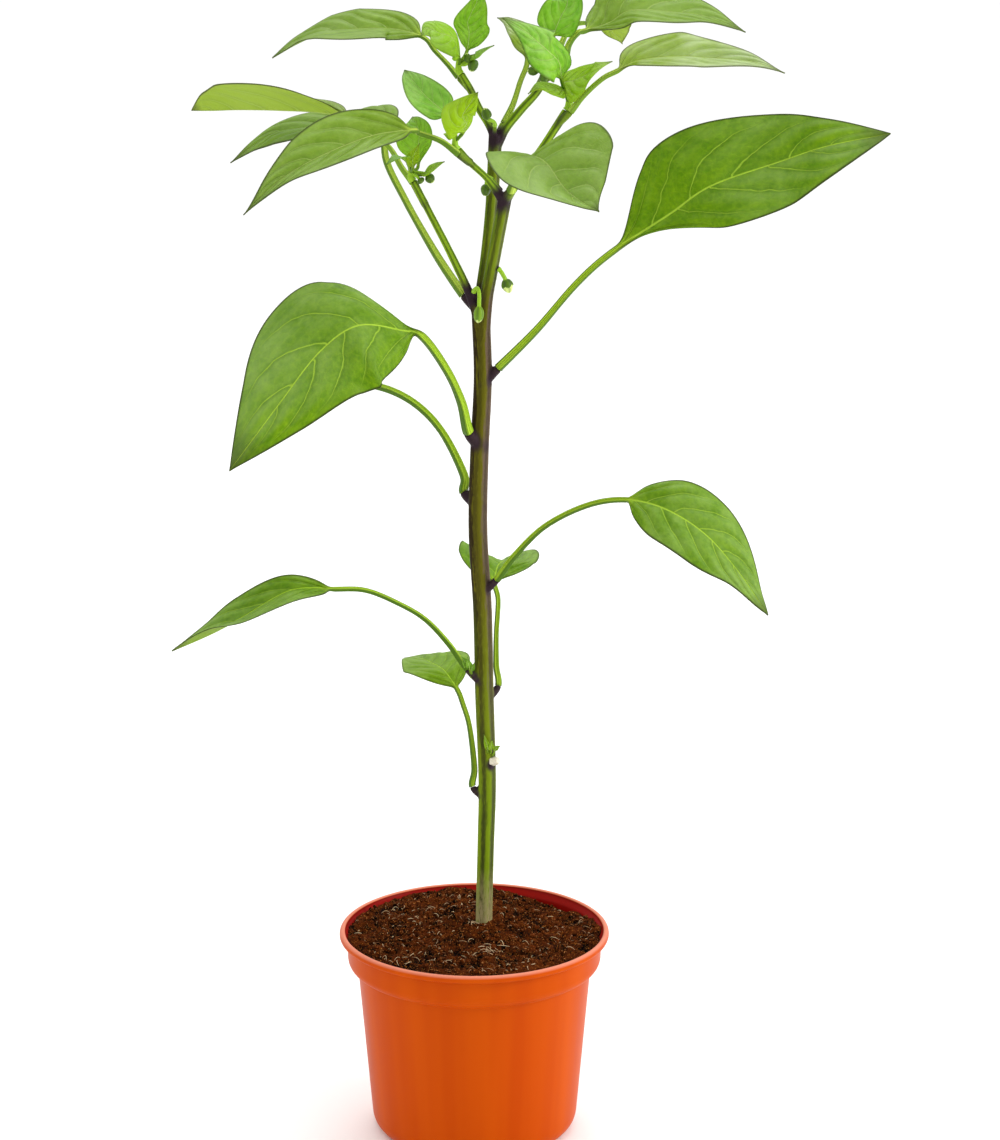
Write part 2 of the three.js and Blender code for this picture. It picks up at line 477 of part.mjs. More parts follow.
// Each growing tip: the limb whose end it is seated on, its young leaves and its closed buds.
const SHOOTS = {
  shoot_front_left: {
    branch: 'frontLeft',
    leaves: [
      { stalk: [[-9.5, -14, 455]],
        blade: [[-13, -12.5, 459], [-19.5, -8, 464], [-25, -4, 470], [-28.5, -0.5, 474]],
        width: 19.3, face: [0.38, -0.73, 0.5], tipFace: [0.47, -0.7, 0.5],
        full: 0.94, skew: -0.12, lean: 0.1, fold: 0.32, curl: -0.06, phase: 5.8 },
      { stalk: [[-4, -18.5, 450]],
        blade: [[-2.5, -22.5, 454.5], [-4, -27.5, 458.5], [-0.5, -27.5, 464], [2.5, -29, 468.5]],
        width: 19.5, face: [0.67, -0.74, 0.6], tipFace: [0.27, -0.92, 0.6],
        widest: 0.48, full: 1.05, taper: 0.08, skew: -0.17, fold: 0.04, curl: -0.33 },
    ],
    buds: [{ places: [[-4, -15, 450], [-3, -15, 452], [-3, -15, 455]], size: 3 }],
  },
  shoot_left: {
    branch: 'left',
    leaves: [
      { stalk: [[-23, -1.5, 433.5]],
        blade: [[-23, 1.5, 441], [-22.5, 4, 447], [-24, 7, 451], [-25.5, 10, 453]],
        width: 15.5, face: [-0.2, -0.96, 0.4], tipFace: [-0.12, -0.82, 0.4],
        full: 1, taper: 0.14, skew: -0.23, fold: 0.3, phase: 0.5 },
      { stalk: [[-27, -9, 436]], blade: [[-29, -12, 439], [-32, -16, 439], [-36, -20, 437]],
        width: 8, face: [0, 0, 1] },
      { stalk: [[-21.5, -7.5, 431]], blade: [[-18.5, -9, 432.5], [-15, -10, 435], [-11.7, -11, 437.2]],
        width: 8, face: [-0.4, -0.3, 0.9] },
      { stalk: [[-25, -9, 434]], blade: [[-25, -11, 438], [-24, -12, 441], [-22, -13, 445]],
        width: 6, face: [0.3, -0.8, 0.5] },
    ],
    buds: [
      { places: [[-21, -6, 431.5], [-19, -6.5, 430.5], [-16.5, -7, 427.8]], size: 4 },
      { places: [[-23.5, -7.5, 430.5], [-22.3, -8.5, 429.4], [-21, -8.5, 427.8]], size: 3.4 },
    ],
  },
  shoot_top_left: {
    branch: 'backLeft',
    leaves: [
      { stalk: [[-2.5, 13, 480]],
        blade: [[-1.5, 15.5, 487.5], [-2, 17, 492.5], [1.5, 17, 500], [3.5, 18.5, 507]],
        width: 15.5, face: [-0.19, -0.74, 0.3], tipFace: [-0.11, -0.97, 0.3],
        full: 1.19, taper: 0.05, skew: 0.2, fold: 0.14, curl: -0.07, wave: 0.6 },
      { stalk: [[-5.5, 8, 477.5]],
        blade: [[-8, 6.5, 486], [-14, -2, 489.5], [-18.5, -3, 491.5], [-21.5, -7, 489]],
        width: 18.5, face: [0.53, -0.54, 0.7], tipFace: [0.46, -0.58, 0.7],
        widest: 0.65, full: 1.14, taper: 0.05, skew: -0.13, fold: 0.02, curl: -0.13, phase: 4.5 },
      { stalk: [[-1, 9, 478.5]], blade: [[1, 7.5, 479], [4, 7.5, 481], [9, 6.5, 483.5]],
        width: 6, face: [-0.36, -0.3, 0.8], fold: 0.14, curl: -0.17 },
    ],
    buds: [
      { places: [[-1, 9, 476.5], [0.3, 8.5, 476.8], [-0.6, 8, 472.2]], size: 4.3 },
      { places: [[-3, 9, 475], [-2, 7.5, 476.5], [-2.6, 7, 480.2]], size: 3 },
    ],
  },
  shoot_top_back: {
    branch: 'backRight',
    leaves: [
      { stalk: [[34, 24, 485]], blade: [[37, 24, 493], [40, 26, 499], [38.5, 30, 505], [41.5, 32, 512.2]],
        width: 18, face: [-0.1, -0.89, 0.3], tipFace: [-0.15, -0.9, 0.3],
        widest: 0.46, full: 1.04, taper: 0.05, fold: 0.34, curl: -0.03, wave: 0.5, phase: 5.7 },
      { stalk: [[31, 18, 484]], blade: [[28, 15, 486], [24, 13, 487], [20, 12, 486]],
        width: 8, face: [-0.2, -0.3, 0.9] },
    ],
    buds: [
      { places: [[30, 19, 477], [27, 18.5, 472], [22.9, 18, 471.2]], size: 3.9 },
      { places: [[33, 17.5, 476.5], [31, 15.5, 471.5], [29.1, 14.8, 466.5]], size: 3.8 },
    ],
  },
  shoot_right: {
    branch: 'frontRight',
    leaves: [
      { stalk: [[37, -7.5, 470.5]],
        blade: [[36, -10.5, 478], [31.5, -17, 483.5], [27, -17.5, 487.5],
          [21, -18, 492.5], [12.5, -17.5, 497.5]],
        width: 23.5, face: [0.64, -0.86, 0.6], tipFace: [0.35, -0.65, 0.6],
        full: 1.12, taper: 0.05, fold: 0.08, curl: -0.17, wave: 0.5 },
      { stalk: [[37.5, -2, 468]],
        blade: [[42.5, -3, 470], [48.5, -8, 473.5], [51, -13, 477], [58, -12, 479]],
        width: 19.5, face: [-0.55, -0.5, 0.6], tipFace: [-0.52, -0.24, 0.6],
        widest: 0.5, full: 1, taper: 0.06, skew: 0.3, fold: 0.06, curl: -0.05 },
      { stalk: [[39.5, -5, 465.5]],
        blade: [[35.5, -7.5, 466.5], [31, -11.5, 468], [27, -15, 469], [23, -16, 466]],
        width: 10.5, face: [0.25, -0.53, 0.9], tipFace: [0.18, -0.43, 0.9],
        widest: 0.62, full: 1.25, skew: -0.11, fold: 0.13, curl: -0.14 },
    ],
    buds: [{ places: [[43.5, -2, 466], [44.2, -2.4, 467], [44.2, -2.4, 465]], size: 3.5 }],
  },
};

const BUDS = {
  bud_front: {
    places: [[2, 0, 376], [0.4, -3.4, 380.5], [1.7, -6, 382.7], [2.6, -8, 381],
      [2.6, -8, 375.4], [2.1, -8, 368.1]],
    size: 4.2, start: 0.74,
  },
  bud_right: {
    places: [[7.4, -4, 391.5], [10.7, -5.6, 390.8], [12, -6, 389.5], [13, -6, 387.8],
      [13.8, -6, 386], [15.5, -5, 380.4]],
    size: 4.6, start: 0.7,
  },
  bud_middle: {
    places: [[12, -6, 424], [8.3, -3, 428], [7, -2, 429], [6, -2, 427.8], [5.7, -2, 426], [5.1, -2, 421.2]],
    size: 4.2, start: 0.72,
  },
  bud_top: {
    places: [[9, 12, 444], [9.3, 8, 449.4], [8.9, 6, 451.3], [7.4, 4.5, 452.4],
      [6.4, 4, 453.1], [4.9, 4, 457.5]],
    size: 4, start: 0.7,
  },
};

// ---- Assembly ----------------------------------------------------------------------------------

const COLOURS = {
  pot: 0xd9581c, soil: 0x3b2216, stem: 0x5f5a2c, leaf: 0x5b9a22, young: 0x8fc71f, bud: 0x7fb03a,
};
const plant = new THREE.Group();

function place(name, geometry, colour, roughness) {
  const material = new THREE.MeshStandardMaterial({ color: colour, roughness, metalness: 0 });
  const mesh = new THREE.Mesh(geometry, material);
  mesh.name = name;
  plant.add(mesh);
}

/** A growing tip: a short upright core on the end of its limb, with young leaves and buds. */
function shoot({ branch, leaves, buds }) {
  const [before, end] = LIMBS[branch].places.slice(-2).map(point);
  const onward = end.clone().addScaledVector(end.clone().sub(before).normalize(), CORE.neck);
  const top = onward.clone().setZ(onward.z + CORE.height);
  const root = onward.clone().lerp(top, 0.4).toArray(); // where its leaves and buds part
  const radius = LIMBS[branch].radii.at(-1);
  const core = [end, onward, top].map((p) => p.toArray());
  const young = { radius: 0.8, wave: 0.2, cells: 2, rings: 6, seated: false };
  return fuse([
    limb(core, [radius, radius, radius * 0.6], { spans: 4, lift: GAP }),
    ...leaves.map((one) => leaf({ ...young, ...one, stalk: [root, ...one.stalk] })),
    ...buds.map((one) => bud({ ...one, places: [root, ...one.places], seated: false })),
  ]);
}

place('pot', pot(), COLOURS.pot, 0.35);
place('soil', soil(), COLOURS.soil, 0.95);
place(
  'stem',
  fuse([
    ...Object.values(LIMBS).map(({ places, radii }) => limb(places, radii, { sides: 10, ridges: RIB })),
    ...Object.values(LEAVES).map(({ stalk, blade, radius = 1.6 }) => cushion([...stalk, ...blade], radius)),
    ...Object.values(BUDS).map(({ places, size }) => cushion(places, size * 0.18)),
  ]),
  COLOURS.stem,
  0.5
);
for (const [name, shape] of Object.entries(LEAVES)) place(name, leaf(shape), COLOURS.leaf, 0.45);
for (const [name, shape] of Object.entries(SHOOTS)) place(name, shoot(shape), COLOURS.young, 0.45);
for (const [name, shape] of Object.entries(BUDS)) place(name, bud(shape), COLOURS.bud, 0.45);

export default plant;
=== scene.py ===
"""A young chilli pepper plant in a plastic nursery pot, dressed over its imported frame.

+Z is up along the pot's axis and -Y is towards the camera. The plant's places are given in
millimetres, as the part's source gives them, and are turned to metres where a mesh is made.
"""

from __future__ import annotations

import logging
import math
from dataclasses import dataclass, field, replace
from enum import Enum

import bpy
import numpy as np
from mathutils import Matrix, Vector

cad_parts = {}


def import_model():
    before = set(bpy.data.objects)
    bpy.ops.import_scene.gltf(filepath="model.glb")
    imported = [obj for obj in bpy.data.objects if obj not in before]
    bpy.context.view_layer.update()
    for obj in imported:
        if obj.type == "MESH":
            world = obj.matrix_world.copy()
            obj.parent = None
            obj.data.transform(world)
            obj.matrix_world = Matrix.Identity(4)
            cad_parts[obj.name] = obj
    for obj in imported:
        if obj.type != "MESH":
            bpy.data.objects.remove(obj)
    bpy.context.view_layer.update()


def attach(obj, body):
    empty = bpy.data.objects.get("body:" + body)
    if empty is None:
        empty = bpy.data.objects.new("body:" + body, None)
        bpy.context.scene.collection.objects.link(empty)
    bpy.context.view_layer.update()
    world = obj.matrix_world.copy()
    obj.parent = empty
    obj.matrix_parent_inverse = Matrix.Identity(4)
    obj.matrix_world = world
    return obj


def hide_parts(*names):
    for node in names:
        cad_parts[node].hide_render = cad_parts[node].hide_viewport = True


Array = np.ndarray
Place = tuple[float, float, float]
Places = tuple[Place, ...]
Value = bpy.types.Node | bpy.types.NodeSocket  # a node, whose first output is meant, or a socket
log = logging.getLogger("chilli_plant")

MM = 0.001
GAP = 0.3  # mm between two solids of the frame that touch
RIB = 0.07  # how far the stem's ribs stand out, as a share of its radius
LATERALS = 6.0  # side veins on each half of a blade
VEIN_LEAD = 0.34  # how far a side vein runs towards the tip, as a share of the blade's length
VEIN_CURVE = 1.35  # power by which it bends towards the tip
VEIN_START = (0.18, 0.63)  # where the rows of side veins start on the two halves, in veins
SMALL_LEAF = 26.0  # mm, the width below which a leaf waves and bulges less
FLAT = 10.0  # mm to one unit of the flat maps of the leaves and the pot


# ---- Lines and surfaces ------------------------------------------------------------------------


def unit(vectors: Array) -> Array:
    """The vectors at length one."""
    return vectors / np.linalg.norm(vectors, axis=-1, keepdims=True)


def mix(low: float | Array, high: float | Array, share: float | Array) -> float | Array:
    """The value at a share of the way from low to high."""
    return low + (high - low) * share


def ease(low: float, high: float, value: Array) -> Array:
    """0 below low, 1 above high, and 3x^2 - 2x^3 between them."""
    x = np.clip((value - low) / (high - low), 0, 1)
    return x * x * (3 - 2 * x)


@dataclass(frozen=True)
class Line:
    """A smooth line through given places, in mm: a uniform Catmull-Rom line.

    Between places p1 and p2, with p0 before and p3 after, it is the cubic that leaves p1 along
    (p2 - p0) / 2 and reaches p2 along (p3 - p1) / 2. Past its ends the places are mirrored.
    """

    places: Places

    def _cubic(self, t: Array) -> tuple[Array, Array, Array, Array, Array]:
        """Finds the cubic that each t lies on.

        Args:
            t: Shares of the line, from 0 to 1.

        Returns:
            The cubic's four factors, and the share of its span.
        """
        p = np.asarray(self.places, float)
        p = np.vstack([2 * p[0] - p[1], p, 2 * p[-1] - p[-2]])
        spans = len(self.places) - 1
        at = np.clip(t, 0, 1) * spans
        i = np.minimum(at.astype(int), spans - 1)
        before, start, end, after = (p[i + k] for k in range(4))
        leave, reach = (end - before) / 2, (after - start) / 2
        square = 3 * (end - start) - 2 * leave - reach
        cube = 2 * (start - end) + leave + reach
        return start, leave, square, cube, (at - i)[:, None]

    def at(self, t: Array) -> Array:
        """The places at t, from 0 at the start to 1 at the end."""
        start, leave, square, cube, w = self._cubic(t)
        return start + w * (leave + w * (square + w * cube))

    def along(self, t: Array) -> Array:
        """The unit tangents at t."""
        _, leave, square, cube, w = self._cubic(t)
        return unit(leave + w * (2 * square + 3 * w * cube))

    def length(self) -> float:
        """Its length in mm, over 200 chords."""
        places = self.at(np.linspace(0, 1, 200))
        return float(np.linalg.norm(np.diff(places, axis=0), axis=1).sum())


def carried(tangents: Array, first: Array) -> Array:
    """Side directions along a line: each is the last one, turned as little as possible.

    Args:
        tangents: The line's unit tangents, one a row.
        first: A direction across the first tangent, or near it.

    Returns:
        A unit side direction for each tangent.
    """
    sides = np.empty_like(tangents)
    side = first
    for i, tangent in enumerate(tangents):
        side = unit(side - tangent * (side @ tangent))
        sides[i] = side
    return sides


@dataclass
class Surface:
    """Points in mm with the faces between them, and values that a material reads at each point."""

    points: Array
    faces: Array
    values: dict[str, Array] = field(default_factory=dict)

    @classmethod
    def skin(cls, rings: Array, **values: Array) -> Surface:
        """A closed skin over rings of equal size, whose points run counter-clockwise from ahead.

        Each ring is joined to the next by four-sided faces. The two end rings are closed by strips
        of faces from one half of the ring to the other.

        Args:
            rings: The rings' points, with shape (rings, points in a ring, 3). The second is even.
            values: Values with the rings' first two dimensions.

        Returns:
            The skin.
        """
        count, size = rings.shape[:2]
        i, k = np.meshgrid(np.arange(count - 1), np.arange(size), indexing="ij")
        a, b = i * size + k, i * size + (k + 1) % size
        wall = np.stack([a, b, b + size, a + size], axis=-1).reshape(-1, 4)
        k = np.arange(size // 2 - 1)
        start = np.stack([k, size - 1 - k, size - 2 - k, k + 1], axis=-1)
        end = (count - 1) * size + start[:, ::-1]
        flat = {n: np.reshape(v, (count * size, -1)) for n, v in values.items()}
        return cls(rings.reshape(-1, 3), np.vstack([wall, start, end]), flat)

    @classmethod
    def joined(cls, parts: list[Surface]) -> Surface:
        """Several surfaces as one.

        Args:
            parts: The surfaces, with the same kinds of face and value.

        Returns:
            The joined surface.
        """
        starts = np.cumsum([0] + [len(p.points) for p in parts[:-1]])
        return cls(
            np.vstack([p.points for p in parts]),
            np.vstack([p.faces + s for p, s in zip(parts, starts)]),
            {n: np.vstack([p.values[n] for p in parts]) for n in parts[0].values},
        )

    def mesh(self, name: str) -> bpy.types.Mesh:
        """Makes the surface a smooth-shaded mesh in metres, with its values.

        Args:
            name: The mesh's name.

        Returns:
            The mesh.
        """
        mesh = bpy.data.meshes.new(name)
        faces, corners = self.faces.shape
        mesh.vertices.add(len(self.points))
        mesh.vertices.foreach_set("co", (self.points * MM).ravel())
        mesh.loops.add(faces * corners)
        mesh.loops.foreach_set("vertex_index", self.faces.ravel())
        mesh.polygons.add(faces)
        mesh.polygons.foreach_set("loop_start", np.arange(faces) * corners)
        mesh.polygons.foreach_set("use_smooth", np.ones(faces, bool))
        mesh.update(calc_edges=True)
        for key, value in self.values.items():
            set_value(mesh, key, value)
        mesh.validate()
        return mesh


def set_value(mesh: bpy.types.Mesh, name: str, value: Array) -> None:
    """Puts a value of each point into a mesh.

    Args:
        mesh: The mesh.
        name: The name that a material reads it by.
        value: A row for each point: two numbers make a UV map, and one or three an attribute.
    """
    if value.shape[1] == 2:
        corner = np.empty(len(mesh.loops), int)
        mesh.loops.foreach_get("vertex_index", corner)
        mesh.uv_layers.new(name=name).data.foreach_set("uv", value[corner].ravel())
        return
    kind, key = ("FLOAT", "value") if value.shape[1] == 1 else ("FLOAT_VECTOR", "vector")
    mesh.attributes.new(name, kind, "POINT").data.foreach_set(key, value.ravel())


def dress(
    mesh: bpy.types.Mesh, finish: bpy.types.Material, nodes: tuple[str, ...] = ()
) -> bpy.types.Object:
    """Puts a mesh into the scene as a piece of the plant and reports it.

    Args:
        mesh: The piece's mesh, in metres in the frame.
        finish: Its material.
        nodes: The frame's nodes that it stands for.

    Returns:
        The piece.
    """
    piece = bpy.data.objects.new(mesh.name, mesh)
    bpy.context.scene.collection.objects.link(piece)
    if not mesh.materials:
        mesh.materials.append(finish)
    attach(piece, "root")
    if nodes:
        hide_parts(*nodes)
    log.info("%s: %d faces", piece.name, len(mesh.polygons))
    return piece


def lattice_noise(x: Array, y: Array, seed: int) -> Array:
    """Smooth noise with one draw at each whole number, eased between them.

    Args:
        x: Places along one axis.
        y: Places along the other.
        seed: The draws' seed.

    Returns:
        Values from -1 to 1, which repeat after 128 places.
    """
    size = 128
    draws = np.random.default_rng(seed).uniform(-1, 1, (size, size))
    i, j = np.floor(x).astype(int), np.floor(y).astype(int)
    u, v = ease(0, 1, x - i), ease(0, 1, y - j)
    i, j = i % size, j % size
    i1, j1 = (i + 1) % size, (j + 1) % size
    return mix(mix(draws[i, j], draws[i1, j], u), mix(draws[i, j1], draws[i1, j1], u), v)


# ---- Materials ---------------------------------------------------------------------------------


def linear(colour: str) -> tuple[float, float, float, float]:
    """An sRGB hex colour as linear red, green, blue and alpha 1."""
    parts = [int(colour[i : i + 2], 16) / 255 for i in (1, 3, 5)]
    return (*(c / 12.92 if c <= 0.04045 else ((c + 0.055) / 1.055) ** 2.4 for c in parts), 1.0)


class Recipe:
    """A new material or world, and the nodes that it is built from."""

    def __init__(self, name: str, library: bpy.types.bpy_prop_collection | None = None) -> None:
        """Starts it with no nodes.

        Args:
            name: Its name.
            library: Where the file keeps it: the materials, unless another is given.
        """
        self.owner = (bpy.data.materials if library is None else library).new(name)
        self.owner.use_nodes = True
        self.tree = self.owner.node_tree
        self.tree.nodes.clear()

    def add(self, kind: str, *inputs, **settings) -> bpy.types.Node:
        """Adds a node with its settings and links.

        Args:
            kind: The node's type, without its ShaderNode prefix.
            inputs: What the node's inputs take, in order: a value, an sRGB hex colour, a socket, or
                a node, whose first output is meant.
            settings: By name, a property of the node, or, with a capital letter, one of its inputs.

        Returns:
            The node.
        """
        node = self.tree.nodes.new("ShaderNode" + kind)
        named = {k.replace("_", " "): v for k, v in settings.items() if k[0].isupper()}
        for key in settings.keys() - {k.replace(" ", "_") for k in named}:
            setattr(node, key, settings[key])
        usable = [s for s in node.inputs if s.enabled]
        pairs = list(zip(usable, inputs))
        pairs += [(next(s for s in usable if s.name == key), value) for key, value in named.items()]
        for socket, value in pairs:
            if isinstance(value, bpy.types.Node):
                value = next(s for s in value.outputs if s.enabled)
            if isinstance(value, bpy.types.NodeSocket):
                self.tree.links.new(value, socket)
            else:
                socket.default_value = linear(value) if isinstance(value, str) else value
        return node


@dataclass(frozen=True)
class LeafPlace:
    """What a leaf's material reads at a point, as sockets and nodes.

    The UV map `blade` holds the share of the length and of the width, and `flat` the mm along and
    across, over FLAT. `size` holds mm from the margin and from the midrib, and between side veins.
    `kind` is 1 on the stalk, 1 beneath, and the share of the fresh yellow-green tone.
    """

    flat: Value
    along: Value
    half: Value  # -1 at one margin, 0 at the midrib and 1 at the other margin
    out: Value  # 0 at the midrib and 1 at either margin
    margin: Value
    across: Value
    pitch: Value
    stalk: Value
    under: Value
    tender: Value

    @classmethod
    def read(cls, m: Recipe) -> LeafPlace:
        """Adds the nodes that read it.

        Args:
            m: The leaf's material.

        Returns:
            The place.
        """
        flat = m.add("UVMap", uv_map="flat")
        blade = m.add("SeparateXYZ", m.add("UVMap", uv_map="blade"))
        size = m.add("SeparateXYZ", m.add("Attribute", attribute_name="size").outputs["Vector"])
        kind = m.add("SeparateXYZ", m.add("Attribute", attribute_name="kind").outputs["Vector"])
        half = m.add("Math", blade.outputs[1], 2.0, -1.0, operation="MULTIPLY_ADD")
        out = m.add("Math", half, operation="ABSOLUTE")
        return cls(flat, blade.outputs[0], half, out, *size.outputs, *kind.outputs)


@dataclass(frozen=True)
class Veins:
    """A leaf's veins as nodes. The last three are 1 on the vein and fall to 0 beside it."""

    off: Value  # mm from the nearest side vein, and more on a small leaf, whose veins are finer
    reach: Value  # 1 where side veins show: they fade before the margin and the tip
    lateral: Value
    middle: Value
    net: Value

    @classmethod
    def drawn(cls, m: Recipe, at: LeafPlace) -> Veins:
        """Adds the nodes that draw them.

        A side vein runs where LATERALS (s - VEIN_LEAD |v|^VEIN_CURVE) is whole, for s along the
        blade and v across it. The two halves are staggered by VEIN_START, and noise of 11 mm grain
        lets each vein wander. The finest veins are a net with meshes of 3 mm, drawn coarser than
        the real ones so that it shows.

        Args:
            m: The leaf's material.
            at: The place.

        Returns:
            The veins.
        """
        wander = m.add("TexNoise", Vector=at.flat, Scale=FLAT / 11.11, Detail=2.0)
        lead = m.add("Math", at.out, VEIN_CURVE, operation="POWER")
        lead = m.add("Math", lead, -VEIN_LEAD, at.along, operation="MULTIPLY_ADD")
        start = m.add("Math", at.half, 0.0, operation="GREATER_THAN")
        start = m.add("Math", start, VEIN_START[1] - VEIN_START[0], VEIN_START[0],
                      operation="MULTIPLY_ADD")
        row = m.add("Math", lead, LATERALS, start, operation="MULTIPLY_ADD")
        row = m.add("Math", m.add("Math", wander, 0.5, operation="SUBTRACT"), 0.42, row,
                    operation="MULTIPLY_ADD")
        fineness = m.add("MapRange", at.pitch, 2.5, 10.0, 0.3, 1.0)
        off = m.add("Math", m.add("Math", row, 0.5, operation="PINGPONG"), at.pitch,
                    operation="MULTIPLY")
        off = m.add("Math", off, fineness, operation="DIVIDE")
        reach = m.add("Math", m.add("MapRange", at.out, 0.97, 0.55, interpolation_type="SMOOTHSTEP"),
                      m.add("MapRange", at.along, 0.98, 0.8), operation="MULTIPLY")
        lateral = m.add("MapRange", off, 0.45, 0.08, interpolation_type="SMOOTHSTEP")
        lateral = m.add("Math", lateral, reach, operation="MULTIPLY")
        slim = m.add("Math", at.along, -0.7, 1.0, operation="MULTIPLY_ADD")
        slim = m.add("Math", slim, fineness, operation="MULTIPLY")
        middle = m.add("MapRange", m.add("Math", at.across, slim, operation="DIVIDE"), 0.75, 0.25,
                       interpolation_type="SMOOTHSTEP")
        net = m.add("TexVoronoi", Vector=at.flat, Scale=FLAT / 3.125, feature="DISTANCE_TO_EDGE")
        net = m.add("MapRange", net, 0.09, 0.0)
        return cls(off, reach, lateral, middle, net)


@dataclass(frozen=True)
class LeafFinish:
    """A living pepper leaf: a thin blade with a waxed skin, glossy above and paler and duller beneath.

    Its veins are paler than the blade and lie in shallow furrows, with painted shade beside the
    side veins, and its margin is a thin dark line. Where it looks up it has a painted pale sheen,
    the reflection of the bright sky, and light from behind shines through it yellow-green.
    """

    name: str
    blade: str
    shade: str
    vein: str
    under: str
    glow: str  # of the light that comes through it
    stalk: str
    stalk_edge: str
    # painted sheen: the pale reflection of the bright sky where the leaf looks up
    sky_sheen: str = "#BCD69A"
    fresh: str = "#ACCE06"  # of a leaf that has just opened
    margin: str = "#2F3418"
    vein_shade: str = "#3F6A08"  # painted shade beside a side vein, where the blade dips between its bulges
    sheen_share: float = 0.32  # share of the painted sheen where the leaf looks straight up, least at its base
    roughness: float = 0.42
    through: float = 0.3  # share of the light that goes through it

    def material(self) -> bpy.types.Material:
        """Builds it.

        Returns:
            The material.
        """
        m = Recipe(self.name)
        at = LeafPlace.read(m)
        veins = Veins.drawn(m, at)
        blotch = m.add("TexNoise", Vector=at.flat, Scale=FLAT / 9.09, Detail=4.0, Roughness=0.6)
        mottle = m.add("TexNoise", Vector=at.flat, Scale=FLAT / 2.0, Detail=3.0, Roughness=0.6)
        rim = self.rim(m, at)
        tone = self.blade_tone(m, at, veins, blotch, mottle)
        tone = m.add("Mix", rim, tone, self.margin, data_type="RGBA")
        ridge = m.add("MapRange", at.out, 0.5, 0.9)
        petiole = m.add("Mix", ridge, self.stalk, self.stalk_edge, data_type="RGBA")
        tone = m.add("Mix", at.stalk, tone, petiole, data_type="RGBA")

        relief = self.relief(m, at, veins, mottle)
        bump = m.add("Bump", Height=relief, Distance=0.3 * MM, Strength=0.9)
        gloss = m.add("Math", blotch, 0.12, self.roughness - 0.06, operation="MULTIPLY_ADD")
        gloss = m.add("Math", at.under, 0.16, gloss, operation="MULTIPLY_ADD")
        skin = m.add("BsdfPrincipled", Base_Color=tone, Roughness=gloss, IOR=1.45, Normal=bump,
                     Specular_IOR_Level=0.15)
        glow = m.add("Mix", at.tender, self.glow, self.fresh, data_type="RGBA")
        glow = m.add("Mix", rim, glow, self.margin, data_type="RGBA")
        glow = m.add("BsdfTranslucent", Color=glow, Normal=bump)
        share = m.add("Math", at.stalk, -self.through, self.through, operation="MULTIPLY_ADD")
        body = m.add("MixShader", share, skin, glow)
        m.add("OutputMaterial", body)
        return m.owner

    def rim(self, m: Recipe, at: LeafPlace) -> bpy.types.Node:
        """The share of the dark tone of its margin, 1 mm wide, and of its tip.

        Args:
            m: The leaf's material.
            at: The place.

        Returns:
            The share, fainter on a small leaf and on a fresh one.
        """
        rim = m.add("MapRange", at.margin, 1.0, 0.3, To_Max=0.85)
        rim = m.add("Math", rim, m.add("MapRange", at.pitch, 2.0, 9.0, 0.3, 1.0), operation="MULTIPLY")
        rim = m.add("Math", rim, m.add("MapRange", at.tender, 0.0, 0.8, 1.0, 0.3), operation="MULTIPLY")
        tip = m.add("MapRange", at.along, 0.88, 1.0, To_Max=0.75)
        return m.add("Math", rim, tip, operation="MAXIMUM")

    def blade_tone(
        self, m: Recipe, at: LeafPlace, veins: Veins, blotch: bpy.types.Node, mottle: bpy.types.Node
    ) -> bpy.types.Node:
        """The blade's colour without its margin: two greens, the painted sheen, the painted shade beside
        the side veins, and the veins.

        Args:
            m: The leaf's material.
            at: The place.
            veins: The veins.
            blotch: Noise of 9 mm grain.
            mottle: Noise of 2 mm grain.

        Returns:
            The colour.
        """
        mixed = m.add("Math", mottle, 0.5, m.add("Math", blotch, 0.5, operation="MULTIPLY"),
                      operation="MULTIPLY_ADD")
        tone = m.add("Mix", m.add("MapRange", mixed, 0.38, 0.64), self.shade, self.blade,
                     data_type="RGBA")
        tone = m.add("Mix", at.under, tone, self.under, data_type="RGBA")
        tone = m.add("Mix", at.tender, tone, self.fresh, data_type="RGBA")

        # Painted sheen, the reflection of the bright sky: in patches where the leaf looks up, and more
        # of it towards the tip
        upward = m.add("SeparateXYZ", m.add("NewGeometry").outputs["Normal"]).outputs[2]
        sheen_mask = m.add("MapRange", upward, 0.05, 0.9, interpolation_type="SMOOTHSTEP")
        outer = m.add("Math", at.along, 0.45, m.add("Math", blotch, 0.8, operation="MULTIPLY"),
                      operation="MULTIPLY_ADD")
        patch = m.add("MapRange", outer, 0.42, 0.8, To_Min=self.sheen_share * 0.15, To_Max=self.sheen_share * 1.7)
        sheen_mask = m.add("Math", sheen_mask, patch, operation="MULTIPLY")
        sheen_scale = m.add("Math", m.add("Math", at.under, at.tender, operation="MAXIMUM"), -0.7, 1.0,
                     operation="MULTIPLY_ADD")
        sheen_mask = m.add("Math", sheen_mask, sheen_scale, operation="MULTIPLY")
        tone = m.add("Mix", sheen_mask, tone, self.sky_sheen, data_type="RGBA")

        # Painted shade beside the side veins, where the blade dips between its bulges
        vein_shade = m.add("MapRange", veins.off, 2.0, 0.5, To_Max=0.3, interpolation_type="SMOOTHSTEP")
        vein_shade = m.add("Math", vein_shade, veins.reach, operation="MULTIPLY")
        vein_shade = m.add("Math", vein_shade, m.add("MapRange", at.pitch, 4.0, 10.0), operation="MULTIPLY")
        tone = m.add("Mix", vein_shade, tone, self.vein_shade, data_type="RGBA")
        faint = m.add("Math", veins.net, 0.07, operation="MULTIPLY")
        tone = m.add("Mix", faint, tone, self.vein, data_type="RGBA")
        clear = m.add("MapRange", at.pitch, 2.0, 9.0, 0.25, 0.6)
        clear = m.add("Math", veins.lateral, clear, operation="MULTIPLY")
        tone = m.add("Mix", clear, tone, self.vein, data_type="RGBA")
        clear = m.add("Math", veins.middle, 0.92, operation="MULTIPLY")
        return m.add("Mix", clear, tone, self.vein, data_type="RGBA")

